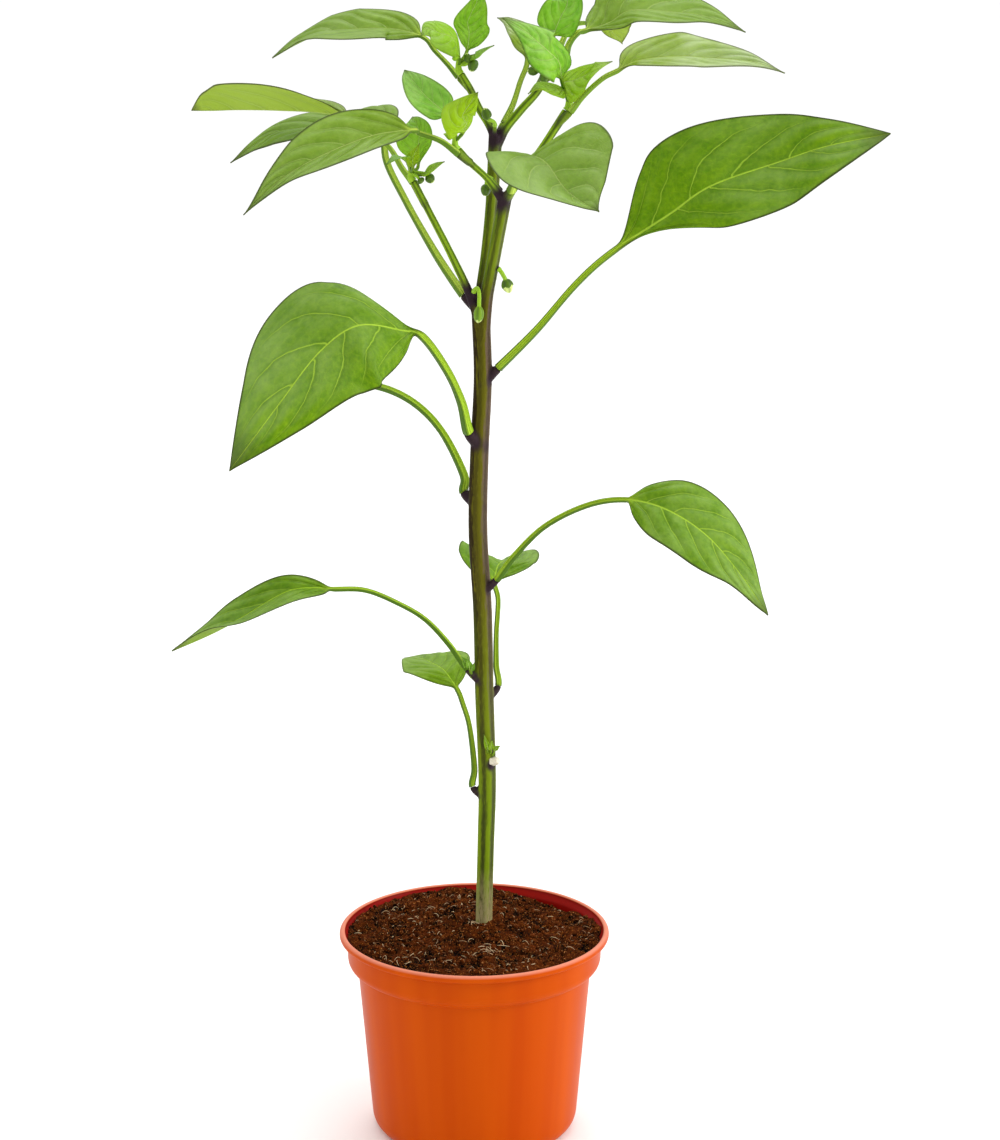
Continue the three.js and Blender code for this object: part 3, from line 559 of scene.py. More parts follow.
    def relief(
        self, m: Recipe, at: LeafPlace, veins: Veins, mottle: bpy.types.Node
    ) -> bpy.types.Node:
        """The height for its bump: furrowed veins, which stand out beneath, and a puckered skin.

        Args:
            m: The leaf's material.
            at: The place.
            veins: The veins.
            mottle: Noise of 2 mm grain.

        Returns:
            The height.
        """
        pores = m.add("TexNoise", Vector=at.flat, Scale=FLAT / 0.625, Detail=2.0)
        relief = m.add("Math", veins.middle, -0.8, operation="MULTIPLY")
        relief = m.add("Math", veins.lateral, -0.55, relief, operation="MULTIPLY_ADD")
        relief = m.add("Math", veins.net, -0.14, relief, operation="MULTIPLY_ADD")
        turn = m.add("Math", at.under, -2.0, 1.0, operation="MULTIPLY_ADD")
        relief = m.add("Math", relief, turn, operation="MULTIPLY")
        puff = m.add("MapRange", veins.off, 0.0, 3.0, To_Max=1.2, interpolation_type="SMOOTHSTEP")
        relief = m.add("Math", puff, veins.reach, relief, operation="MULTIPLY_ADD")
        relief = m.add("Math", mottle, 0.6, relief, operation="MULTIPLY_ADD")
        return m.add("Math", pores, 0.18, relief, operation="MULTIPLY_ADD")


@dataclass(frozen=True)
class StemFinish:
    """Green pepper stem, ribbed and half woody: striped green and purple-brown, dark at its nodes."""

    name: str = "pepper_stem_bark"
    green: str = "#748C0C"
    green_furrow: str = "#3C440E"
    olive: str = "#605C0A"
    brown: str = "#2C2108"
    mauve: str = "#625040"
    young: str = "#86A81E"
    young_furrow: str = "#4C6414"
    node: str = "#2F2028"
    light: str = "#8C9038"
    cork: str = "#A4966A"

    def material(self) -> bpy.types.Material:
        """Builds it.

        `grain` is a place on the bark, squeezed along it, and `trait` holds rib, node and youth.
        `side` runs from -1 at its left to 1 at its right. The streaks are about 1.2 mm wide and
        13 mm long, and the fibres a quarter of that.

        Returns:
            The material.
        """
        m = Recipe(self.name)
        grain = m.add("Attribute", attribute_name="grain").outputs["Vector"]
        trait = m.add("SeparateXYZ", m.add("Attribute", attribute_name="trait").outputs["Vector"])
        rib, node, youth = trait.outputs
        side = m.add("Attribute", attribute_name="side").outputs["Fac"]
        height = m.add("SeparateXYZ", m.add("TexCoord").outputs["Object"]).outputs[2]
        streak = m.add("TexNoise", Vector=grain, Scale=1.5, Detail=3.0, Roughness=0.6)
        fibre = m.add("TexNoise", Vector=grain, Scale=6.0, Detail=3.0, Roughness=0.7)

        # Stripes follow the ribs, and the streaks and fibres break their edges
        shift = m.add("Math", m.add("Math", streak, 0.5, operation="SUBTRACT"), 2.6, rib,
                      operation="MULTIPLY_ADD")
        shift = m.add("Math", m.add("Math", fibre, 0.5, operation="SUBTRACT"), 1.8, shift,
                      operation="MULTIPLY_ADD")
        stripe = m.add("MapRange", shift, -1.1, 0.8, interpolation_type="SMOOTHSTEP")
        edge = m.add("Math", m.add("Math", streak, 0.5, operation="SUBTRACT"), 1.1, side,
                     operation="MULTIPLY_ADD")

        # Green at its foot, then brown at its left and mauve at its right, and green again where
        # it is young
        low = m.add("Mix", stripe, self.green_furrow, self.green, data_type="RGBA")
        low = m.add("Mix", m.add("MapRange", edge, 0.45, 0.75, To_Max=0.5), low, self.green_furrow,
                    data_type="RGBA")
        high = m.add("Mix", m.add("MapRange", stripe, To_Min=0.5), self.brown, self.olive,
                     data_type="RGBA")
        high = m.add("Mix", m.add("MapRange", edge, -0.45, -0.62), high, self.brown, data_type="RGBA")
        warm = m.add("Mix", m.add("MapRange", stripe, To_Min=0.35), self.brown, self.mauve,
                     data_type="RGBA")
        high = m.add("Mix", m.add("MapRange", edge, 0.38, 0.56), high, warm, data_type="RGBA")
        upper = m.add("Mix", stripe, self.young_furrow, self.young, data_type="RGBA")
        tone = m.add("Mix", m.add("MapRange", height, 150 * MM, 250 * MM), low, high, data_type="RGBA")
        tone = m.add("Mix", youth, tone, upper, data_type="RGBA")
        tone = m.add("Mix", m.add("MapRange", fibre, 0.58, 0.72, To_Max=0.3), tone, self.light,
                     data_type="RGBA")
        tone = m.add("Mix", node, tone, self.node, data_type="RGBA")
        cork = m.add("Math", m.add("MapRange", height, 120 * MM, 97 * MM),
                     m.add("MapRange", fibre, 0.34, 0.52), operation="MULTIPLY")
        tone = m.add("Mix", cork, tone, self.cork, data_type="RGBA")

        relief = m.add("Math", streak, 0.7, m.add("Math", fibre, 0.5, operation="MULTIPLY"),
                       operation="MULTIPLY_ADD")
        bump = m.add("Bump", Height=relief, Distance=0.35 * MM, Strength=0.7)
        gloss = m.add("Math", fibre, 0.25, 0.34, operation="MULTIPLY_ADD")
        bark = m.add("BsdfPrincipled", Base_Color=tone, Roughness=gloss, Normal=bump,
                     Specular_IOR_Level=0.08)
        m.add("OutputMaterial", bark)
        return m.owner


@dataclass(frozen=True)
class BudFinish:
    """A pepper flower bud: a dark green ribbed cup round pale petals that are still folded."""

    name: str = "pepper_flower_bud"
    stalk: str = "#98C424"
    cup: str = "#50700E"
    petals: str = "#D4E486"
    # painted shade in the furrows between the ribs
    furrow_shade: str = "#24381A"

    def material(self) -> bpy.types.Material:
        """Builds it, with a grain of 1.1 mm. `trait` holds the shares of cup and petals, and the rib.

        Returns:
            The material.
        """
        m = Recipe(self.name)
        trait = m.add("SeparateXYZ", m.add("Attribute", attribute_name="trait").outputs["Vector"])
        cup, petals, rib = trait.outputs
        place = m.add("TexCoord").outputs["Object"]
        grain = m.add("TexNoise", Vector=place, Scale=1 / (1.111 * MM), Detail=2.0)
        tone = m.add("Mix", cup, self.stalk, self.cup, data_type="RGBA")
        tone = m.add("Mix", petals, tone, self.petals, data_type="RGBA")
        # Painted shade in the furrows between the cup's ribs
        shade = m.add("MapRange", rib, -1.0, 0.4, To_Min=0.45, To_Max=0.0)
        tone = m.add("Mix", shade, tone, self.furrow_shade, data_type="RGBA")
        bump = m.add("Bump", Height=grain, Distance=0.15 * MM, Strength=0.5)
        skin = m.add("BsdfPrincipled", Base_Color=tone, Roughness=0.42, Normal=bump,
                     Specular_IOR_Level=0.25)
        m.add("OutputMaterial", skin)
        return m.owner


@dataclass(frozen=True)
class PotFinish:
    """Injection-moulded polypropylene in terracotta orange: glossy, with faint flow lines down it.

    Where it looks up, a painted pale sheen, the reflection of the bright sky, lies on its lip.
    """

    name: str = "moulded_polypropylene_terracotta"
    plastic: str = "#BC4400"
    flow: str = "#C85000"
    # painted sheen where it looks up
    upward_sheen: str = "#E8A08A"
    deep: str = "#8A0E06"  # painted shade inside the pot, dark red as where light has come through the wall

    def material(self) -> bpy.types.Material:
        """Builds it.

        The UV map `wall` holds the mm round the pot and up its skin, over FLAT. The flow lines are
        about 17 mm apart and run from the rim to the foot, and the orange peel has 2 mm grain.

        Returns:
            The material.
        """
        m = Recipe(self.name)
        wall = m.add("UVMap", uv_map="wall")
        inside = m.add("Attribute", attribute_name="inside").outputs["Fac"]
        stretched = m.add("Mapping", wall, Scale=(0.6, 0.03, 1.0))
        lines = m.add("TexNoise", Vector=stretched, Scale=1.0, Detail=2.0, Roughness=0.5)
        orange_peel = m.add("TexNoise", Vector=wall, Scale=FLAT / 2.0, Detail=2.0)
        tone = m.add("Mix", m.add("MapRange", lines, 0.35, 0.7), self.plastic, self.flow,
                     data_type="RGBA")
        # Painted sheen: a pale tint where the surface looks up, the reflection of the bright sky
        upward = m.add("SeparateXYZ", m.add("NewGeometry").outputs["Normal"]).outputs[2]
        upward_sheen = m.add("MapRange", upward, 0.2, 0.85, To_Max=0.55)
        tone = m.add("Mix", upward_sheen, tone, self.upward_sheen, data_type="RGBA")
        # Painted shade on the inner wall, darker and redder than outside
        tone = m.add("Mix", inside, tone, self.deep, data_type="RGBA")
        relief = m.add("Math", orange_peel, 0.25, lines, operation="MULTIPLY_ADD")
        bump = m.add("Bump", Height=relief, Distance=0.06 * MM, Strength=0.5)
        gloss = m.add("MapRange", lines, 0.3, 0.7, To_Min=0.34, To_Max=0.42)
        shell = m.add("BsdfPrincipled", Base_Color=tone, Roughness=gloss, IOR=1.49, Normal=bump,
                      Specular_IOR_Level=0.045)
        m.add("OutputMaterial", shell)
        return m.owner


@dataclass(frozen=True)
class PeatFinish:
    """Damp peat compost: dark brown crumbs, rough and dull, with paler bits of fibre in it."""

    name: str
    dark: str
    mid: str
    pale: str
    bits: float  # how much of its surface is in the pale tone, as a step of the grit's noise

    def material(self) -> bpy.types.Material:
        """Builds it.

        `shade` is one number per crumb, so that neighbours differ, and on the soil's body it is
        painted shade, darkest in its hollows. Clods are 2.4 mm, grit is 0.8 mm, and the damper parts
        are 7.7 mm wide. Real grit is finer, but wouldn't show.

        Returns:
            The material.
        """
        m = Recipe(self.name)
        place = m.add("TexCoord").outputs["Object"]
        # Per crumb a random tone; on the soil's body, painted shade in its hollows
        crumb = m.add("Attribute", attribute_name="shade").outputs["Fac"]
        clods = m.add("TexNoise", Vector=place, Scale=1 / (2.381 * MM), Detail=5.0, Roughness=0.7)
        grit = m.add("TexNoise", Vector=place, Scale=1 / (0.7692 * MM), Detail=3.0, Roughness=0.7)
        damp = m.add("TexNoise", Vector=place, Scale=1 / (7.692 * MM), Detail=2.0)
        mixed = m.add("Math", clods, 0.45, m.add("Math", crumb, 0.35, operation="MULTIPLY"),
                      operation="MULTIPLY_ADD")
        mixed = m.add("Math", damp, 0.6, mixed, operation="MULTIPLY_ADD")
        tone = m.add("Mix", m.add("MapRange", mixed, 0.55, 0.84), self.dark, self.mid, data_type="RGBA")
        speck = m.add("MapRange", grit, 0.64 - self.bits, 0.74 - self.bits)
        tone = m.add("Mix", speck, tone, self.pale, data_type="RGBA")
        bump = m.add("Bump", Height=m.add("Math", grit, clods, operation="ADD"), Distance=0.5 * MM,
                     Strength=0.9)
        peat = m.add("BsdfPrincipled", Base_Color=tone, Roughness=0.85, Normal=bump,
                     Specular_IOR_Level=0.03)
        m.add("OutputMaterial", peat)
        return m.owner


@dataclass(frozen=True)
class FibreFinish:
    """Straw and fine roots in the compost: dry, pale and dull, each a little different in tone."""

    name: str = "straw_and_root_fibre"
    pale: str = "#D6BC94"
    brown: str = "#7A5030"

    def material(self) -> bpy.types.Material:
        """Builds it, with dirt in spots of 2 mm. `shade` is one number per fibre.

        Returns:
            The material.
        """
        m = Recipe(self.name)
        shade = m.add("Attribute", attribute_name="shade").outputs["Fac"]
        place = m.add("TexCoord").outputs["Object"]
        dirt = m.add("TexNoise", Vector=place, Scale=1 / (2 * MM), Detail=2.0)
        share = m.add("Math", dirt, 0.5, shade, operation="MULTIPLY_ADD")
        tone = m.add("Mix", m.add("MapRange", share, 0.35, 1.1), self.brown, self.pale,
                     data_type="RGBA")
        fibre = m.add("BsdfPrincipled", Base_Color=tone, Roughness=0.7, Specular_IOR_Level=0.2)
        m.add("OutputMaterial", fibre)
        return m.owner


@dataclass(frozen=True)
class CutFinish:
    """The fresh cut where a leaf stalk came off: pale, damp wood fibre."""

    name: str = "fresh_cut_stem"
    wood: str = "#F1EBDD"
    pith: str = "#CFC3A0"

    def material(self) -> bpy.types.Material:
        """Builds it, with a grain of 0.7 mm.

        Returns:
            The material.
        """
        m = Recipe(self.name)
        place = m.add("TexCoord").outputs["Object"]
        grain = m.add("TexNoise", Vector=place, Scale=1 / (0.6667 * MM))
        tone = m.add("Mix", grain, self.wood, self.pith, data_type="RGBA")
        wood = m.add("BsdfPrincipled", Base_Color=tone, Roughness=0.6)
        m.add("OutputMaterial", wood)
        return m.owner


class LeafKind(Enum):
    """The plant's kinds of leaf, by age."""

    GROWN = LeafFinish(
        "pepper_leaf_grown", blade="#82AA06", shade="#5C8800", vein="#C4EA48", under="#90B038",
        glow="#84B00A", stalk="#A8CC30", stalk_edge="#4A6C12", sky_sheen="#B0CC80", sheen_share=0.28,
    )
    TOP = LeafFinish(
        "pepper_leaf_top", blade="#96B636", shade="#7A9E24", vein="#C0D870", under="#9AB254",
        glow="#90B424", stalk="#C0DC52", stalk_edge="#587A18", sky_sheen="#B0CC88", sheen_share=0.22,
        roughness=0.4, through=0.36,
    )
    TENDER = LeafFinish(
        "pepper_leaf_tender", blade="#A8BE44", shade="#90AC32", vein="#CADC74", under="#A9C044",
        glow="#B4D430", stalk="#C8E458", stalk_edge="#7A9C2C", sky_sheen="#D2E0B8", sheen_share=0.45,
        roughness=0.4, through=0.36,
    )
    YOUNG = LeafFinish(
        "pepper_leaf_young", blade="#A8DE48", shade="#70B418", vein="#E2F696", under="#A8D038",
        glow="#98D01C", stalk="#98C030", stalk_edge="#54781A", sky_sheen="#BCDC90", roughness=0.36,
        through=0.36,
    )


# ---- Leaves ------------------------------------------------------------------------------------


@dataclass(frozen=True)
class Leaf:
    """A leaf: a round stalk that widens into a thin pointed blade.

    The first place of the stalk is inside what carries it and the second is its seat, where the
    leaf starts, unless it isn't seated. Sizes are in mm.
    """

    stalk: Places
    blade: Places
    width: float
    face: Place  # the way its upper face looks at the base
    tip_face: Place | None = None  # and at the tip, where that differs
    radius: float = 1.6  # of the stalk
    widest: float = 0.72  # power that puts its widest place at 38 % of its length
    full: float = 1.15  # power by which its outline draws in towards both ends
    taper: float = 0.12  # share of its length in which it narrows into its stalk
    lean: float = 0.0  # what one half adds to the power `widest`
    skew: float = 0.0  # share by which the half with v above 0 is broader
    fold: float = 0.25  # rise of each half from the midrib, over its width
    curl: float = -0.1  # its rise with the square of the share of the width, below 0 a droop
    wave: float = 0.9  # height of the waves along its margin
    waves: float = 2.5  # how many there are
    phase: float = 0.0  # angle at which they start
    steady: float = 0.0  # share by which its halves keep to one direction where its midrib bends
    seated: bool = True
    tender: float = 0.0  # share of the fresh yellow-green tone
    thick: float = 0.36
    quilt: float = 0.6  # how far it bulges between its side veins
    rings: int = 76  # steps along the blade
    cells: int = 34  # steps across it
    kind: LeafKind = LeafKind.GROWN

    def surface(self) -> Surface:
        """Works out the leaf.

        With s from 0 at the blade's base to 1 at its tip and v from -1 to 1 across it, the half
        width is W/2 sin(pi s^widest)^full, narrowed over the first `taper`, and 1 - s cubed of the
        stalk's radius at least. With a lean, the half where v is above 0 is widest nearer the tip,
        and with a skew it is broader. The two halves fold up from the midrib, curl down towards
        the margin and wave along it, and between the side veins they bulge by `quilt`. A leaf under
        SMALL_LEAF waves and bulges less. The midrib stands out beneath. Along the stalk the same
        ring is a round section.

        Returns:
            The leaf's skin, with the maps that LeafPlace reads.
        """
        line = Line(self.stalk + self.blade)
        spans = len(self.stalk) + len(self.blade) - 1
        base = (len(self.stalk) - 1) / spans
        first = 1 / spans if self.seated else 0.0
        stalk_rings = max(6, round((base - first) * spans * 7))
        t = np.concatenate([
            np.linspace(first, base, stalk_rings, endpoint=False),
            np.linspace(base, 1, self.rings + 1),
        ])
        tangents = line.along(t)
        s = np.maximum(0, (t - base) / (1 - base))
        faces = mix(np.array(self.face), np.array(self.tip_face or self.face), s[stalk_rings:, None])
        course = mix(tangents[stalk_rings:], tangents[stalk_rings:].mean(0), self.steady)
        on_blade = unit(np.cross(course, faces))
        on_stalk = carried(tangents[:stalk_rings][::-1], on_blade[0])[::-1]
        sides = np.vstack([on_stalk, on_blade])[:, None]
        ups = np.cross(sides, tangents[:, None])
        centre = line.at(t)
        if self.seated:
            centre[0] += tangents[0] * GAP

        # v is denser at the midrib, with a last narrow cell along the margin
        v = np.linspace(-1, 1, self.cells + 1)
        v = np.sign(v) * np.abs(v) ** 1.3 * 0.985
        v = np.concatenate([[-1.0], v, [1.0]])[None]
        s, t = s[:, None], t[:, None]
        along = np.clip((t - first) / (base - first), 0, 1)
        thick = 2 * self.radius * mix(1.15, 0.85, np.minimum(1, 2 * along))
        late = np.maximum(0, self.lean * v)
        oval = np.sin(np.pi * np.minimum(s, 0.99999) ** (self.widest + late)) ** self.full
        broad = (self.width / 2) * (1 + self.skew * np.sign(v))
        reach = broad * oval * (1 - np.exp(-((s / (self.taper * (1 + 3 * late))) ** 2)))
        half = np.maximum(np.hypot((thick / 2) * (1 - s) ** 3, reach), 0.15)
        out = np.abs(v) * half
        flat = np.minimum(1, s / 0.12)  # 0 where it is a round stalk, and 1 where it is a blade

        small = min(1.0, self.width / SMALL_LEAF)
        apart = np.where(v < 0, 1.9, 0)  # so that the two margins don't wave together
        ripple = small * self.wave * np.sin(2 * np.pi * self.waves * s + self.phase + apart)
        bend = (self.fold * np.abs(v) + self.curl * v * v) * reach
        bend = bend + ripple * v * v * np.minimum(1, reach / 5)
        start = np.where(v > 0, VEIN_START[1], VEIN_START[0])
        row = LATERALS * (s - VEIN_LEAD * np.abs(v) ** VEIN_CURVE) + start
        bulge = np.sin(np.pi * row) ** 2 * ease(0.02, 0.3, np.abs(v)) * (1 - ease(0.7, 1.0, np.abs(v)))
        bend = bend + small * self.quilt * bulge * np.minimum(1, reach / 12) * (1 - ease(0.8, 1.0, s))

        rib = np.maximum(thick * (1 - s) ** 1.6, 2 * self.thick)
        edge = mix(thick * 0.45, self.thick, flat)
        round_rib = np.sqrt(np.maximum(0, 1 - v * v))
        slim_rib = np.exp(-((out / (0.28 * rib + 0.15)) ** 2))
        beneath = edge / 2 + (rib - edge) / 2 * mix(round_rib, slim_rib, flat)
        above = edge / 2 + (rib - edge) / 2 * mix(round_rib, -0.18 * slim_rib, flat)
        groove = 0.22 * thick * np.exp(-((v / 0.4) ** 2)) * (1 - flat) * ease(0.0, 0.3, along)
        above = above - groove

        centre, v3 = centre[:, None], v[..., None]
        spread = centre + sides * v3 * half[..., None]
        top = spread + ups * (bend + above)[..., None]
        bottom = (spread + ups * (bend - beneath)[..., None])[:, ::-1]
        rings = np.concatenate([top, bottom], axis=1)

        def both(value: Array) -> Array:
            """A value on the upper face and the lower one, as the rings run."""
            value = np.broadcast_to(value, half.shape)
            return np.concatenate([value, value[:, ::-1]], axis=1)

        length = line.length()
        pitch = length * (1 - base) / LATERALS * 0.7
        under = np.concatenate([np.zeros_like(half), np.ones_like(half)], axis=1)
        on_stalk = both(1 - ease(0.0, 0.1, s))
        return Surface.skin(
            rings,
            blade=np.stack([both(s), both((v + 1) / 2)], axis=-1),
            flat=np.stack([both(length * t), both(v * half)], axis=-1) / FLAT,
            size=np.stack([both(half - out), both(out), np.full_like(under, pitch)], axis=-1),
            kind=np.stack([on_stalk, under, np.full_like(under, self.tender)], axis=-1),
        )


# ---- Stem --------------------------------------------------------------------------------------


@dataclass(frozen=True)
class Limb:
    """A stem or branch through places in mm, whose radius runs evenly through its radii."""

    places: Places
    radii: tuple[float, ...]
    youth: float = 0.0  # 0 on old bark, 1 on green shoots
    ribs: int = 5
    depth: float = RIB
    share: tuple[float, float] = (0.0, 1.0)
    lift: float = 0.0

    def frame(self, count: int) -> tuple[Array, Array, Array, Array, Array]:
        """Measures it at even steps.

        Args:
            count: How many places.

        Returns:
            The places, tangents, side and up directions, and radii.
        """
        line = Line(self.places)
        t = np.linspace(0, 1, count)
        at = mix(*self.share, t)
        tangents = line.along(at)
        start = np.array([1.0, 0, 0] if abs(tangents[0][0]) < 0.9 else [0, 0, 1.0])
        sides = carried(tangents, start)
        centre = line.at(at)
        centre[0] += tangents[0] * self.lift
        radii = np.interp(t, np.linspace(0, 1, len(self.radii)), self.radii)
        return centre, tangents, sides, np.cross(tangents, sides), radii

    def surface(self, count: int = 60, around: int = 40) -> Surface:
        """Puts a ring round each place, with radius r (1 + depth cos(ribs angle)).

        Args:
            count: How many rings.
            around: Points in each.

        Returns:
            The limb's skin.
        """
        centre, _, sides, ups, radii = self.frame(count)
        angle = np.linspace(0, 2 * np.pi, around, endpoint=False)
        reach = radii[:, None, None] * (1 + self.depth * np.cos(self.ribs * angle))[None, :, None]
        turn = sides[:, None] * np.cos(angle)[:, None] + ups[:, None] * np.sin(angle)[:, None]
        return Surface.skin(centre[:, None] + turn * reach)


def cushion(places: Places, radius: float) -> Limb:
    """The short swollen foot on the stem that a leaf stalk or a bud's stalk is seated on."""
    share = (0.0, 1 / (len(places) - 1))
    return Limb(places, (radius * 1.45, radius * 1.35, radius * 1.2), depth=0.0, share=share)


@dataclass(frozen=True)
class Stem:
    """The ribbed stem with its forks and cushions, grown together by a voxel skin."""

    limbs: dict[str, Limb]
    feet: tuple[Limb, ...]
    forks: Places = ((-1, -1, 379), (12, -7, 421), (9, 13, 444))
    fork_stain: tuple[float, float] = (3.5, 8.5)  # mm: dark up to the first, none from the second
    seat_stain: tuple[float, float] = (0.9, 1.9)  # the same round a cushion, over its radius
    scar: Place = (8.5, 2.0, 168.5)
    scar_radius: float = 2.2
    greening: tuple[float, float] = (374, 392)  # mm up, between which a young limb turns green
    streaks: tuple[float, float] = (2.2, 0.05)  # grain round a limb, and for each mm of height
    steps: int = 90  # of each limb's line
    voxel: float = 0.5  # mm
    finish: StemFinish = StemFinish()

    def build(self) -> None:
        """Builds the stem and colours its bark."""
        solids = [limb.surface() for limb in (*self.limbs.values(), *self.feet)]
        rough = bpy.data.objects.new("rough_stem", Surface.joined(solids).mesh("rough_stem"))
        bpy.context.scene.collection.objects.link(rough)
        remesh = rough.modifiers.new("grown_together", "REMESH")
        remesh.mode, remesh.voxel_size, remesh.use_smooth_shade = "VOXEL", self.voxel * MM, True
        smooth = rough.modifiers.new("soft_bark", "SMOOTH")
        smooth.factor, smooth.iterations = 0.5, 3
        graph = bpy.context.evaluated_depsgraph_get()
        mesh = bpy.data.meshes.new_from_object(rough.evaluated_get(graph))
        bpy.data.objects.remove(rough)
        mesh.name = "stem_bark"
        self.paint(mesh)
        dress(mesh, self.finish.material(), ("stem",))

    def paint(self, mesh: bpy.types.Mesh) -> None:
        """Gives each point its place on the bark and its rib, node and youth.

        The nearest step of any limb's line gives the angle round that limb. `grain` is the cosine
        and sine of the angle, and the height squeezed so that noise runs in streaks.
        `node` falls off with the distance from a fork or a cushion, and is fainter at the cushions
        of green shoots. `side` runs from -1 to 1 across the stem: it is darkest on one side.

        Args:
            mesh: The grown-together stem, in metres.
        """
        points = np.empty(len(mesh.vertices) * 3, np.float32)
        mesh.vertices.foreach_get("co", points)
        points = points.reshape(-1, 3) / MM
        frames = [limb.frame(self.steps) for limb in self.limbs.values()]
        centres, sides, ups = (np.vstack([frame[i] for frame in frames]) for i in (0, 2, 3))
        youth = np.repeat([limb.youth for limb in self.limbs.values()], self.steps)
        near = nearest(points, centres)
        away = points - centres[near]
        x, y = (away * sides[near]).sum(1), (away * ups[near]).sum(1)
        angle = np.arctan2(y, x)
        wide, high = self.streaks
        grain = np.stack([np.cos(angle) * wide, np.sin(angle) * wide, points[:, 2] * high], axis=1)
        from_fork = np.linalg.norm(points[:, None] - np.array(self.forks, float), axis=2)
        fork = 1 - ease(*self.fork_stain, np.min(from_fork, axis=1))
        seats, _, _, _, radii = (np.concatenate(part) for part in zip(*(f.frame(6) for f in self.feet)))
        seats, radii = np.vstack([seats, self.scar]), np.append(radii, self.scar_radius)
        reach = np.linalg.norm(points[:, None] - seats, axis=2) / radii
        seat = 1 - ease(*self.seat_stain, np.min(reach, axis=1))
        young = youth[near] * ease(*self.greening, points[:, 2])
        node = np.maximum(fork, seat * (1 - 0.6 * young))
        trait = np.stack([np.cos(5 * angle), node, young], axis=1)
        set_value(mesh, "grain", grain)
        set_value(mesh, "side", away[:, :1] / np.hypot(x, y)[:, None])
        set_value(mesh, "trait", trait)


def nearest(points: Array, places: Array) -> Array:
    """Finds the place nearest to each point, for some 8000 points at a time.

    Args:
        points: The points.
        places: The places.

    Returns:
        The number of the place, for each point.
    """
    found = [
        np.argmin((places**2).sum(1) - 2 * chunk @ places.T, axis=1)
        for chunk in np.array_split(points, max(1, len(points) // 8000))
    ]
    return np.concatenate(found)


# ---- Buds and shoots ---------------------------------------------------------------------------


@dataclass(frozen=True)
class Bud:
    """A closed flower bud on a thin bent stalk through places in mm, as thick as size."""

    places: Places
    size: float
    foot: float = 0.18  # radius of its cushion on the stem, over its size
    start: float = 0.6  # share of its line where it swells from its stalk
    teeth: float = 0.94  # share of the swelling that its green cup covers
    green: float = 1.0  # share of the dark green tone of the cup
    seated: bool = True

    def surface(self, count: int = 84, around: int = 30) -> Surface:
        """Works out the bud.

        With u from 0 where the line swells to 1 at its tip, the radius is 0.52 of the size times
        sin(pi u)^0.6, and the thin stalk's at least. The cup ends in five teeth, and the petals
        close over its opening. Both have five ribs, r (1 + depth cos(5 angle)).

        Args:
            count: How many rings.
            around: Points in each.

        Returns:
            The bud's skin, with what BudFinish reads.
        """
        first = 1 / (len(self.places) - 1) if self.seated else 0.0
        line = Line(self.places)
        t = np.linspace(0, 1, count)
        at = mix(first, 1.0, t)
        tangents = line.along(at)
        upright = abs(tangents[0][2]) > 0.3
        sides = carried(tangents, np.array([0.6, 0.8, 0.0] if upright else [0, 0, 1.0]))
        ups = np.cross(tangents, sides)
        centre = line.at(at)
        if self.seated:
            centre[0] += tangents[0] * GAP
        u = np.clip((t - self.start) / (1 - self.start), 0, 1)[:, None]
        stalk = np.where(u < 0.5, 0.2 + 0.06 * (1 - ease(0, 0.15, t[:, None])), 0.02)
        radius = self.size * np.maximum(stalk, 0.52 * np.sin(np.pi * np.minimum(u, 0.9999)) ** 0.6)
        angle = np.linspace(0, 2 * np.pi, around, endpoint=False)[None]
        rib = np.cos(5 * angle)
        petals = ease(0.0, 0.03, u - self.teeth - 0.06 * rib)
        cup = ease(0.0, 0.12, u) * (1 - petals)
        lip = 0.04 * self.size * ease(self.teeth - 0.3, self.teeth, u) * (1 - petals)
        radius = radius * (1 + 0.05 * cup * rib - 0.06 * petals * rib) + lip
        turn = sides[:, None] * np.cos(angle)[..., None] + ups[:, None] * np.sin(angle)[..., None]
        rings = centre[:, None] + turn * radius[..., None]
        ribs = np.broadcast_to(rib, cup.shape) * (cup - petals)
        return Surface.skin(rings, trait=np.stack([cup * self.green, petals, ribs], axis=-1))


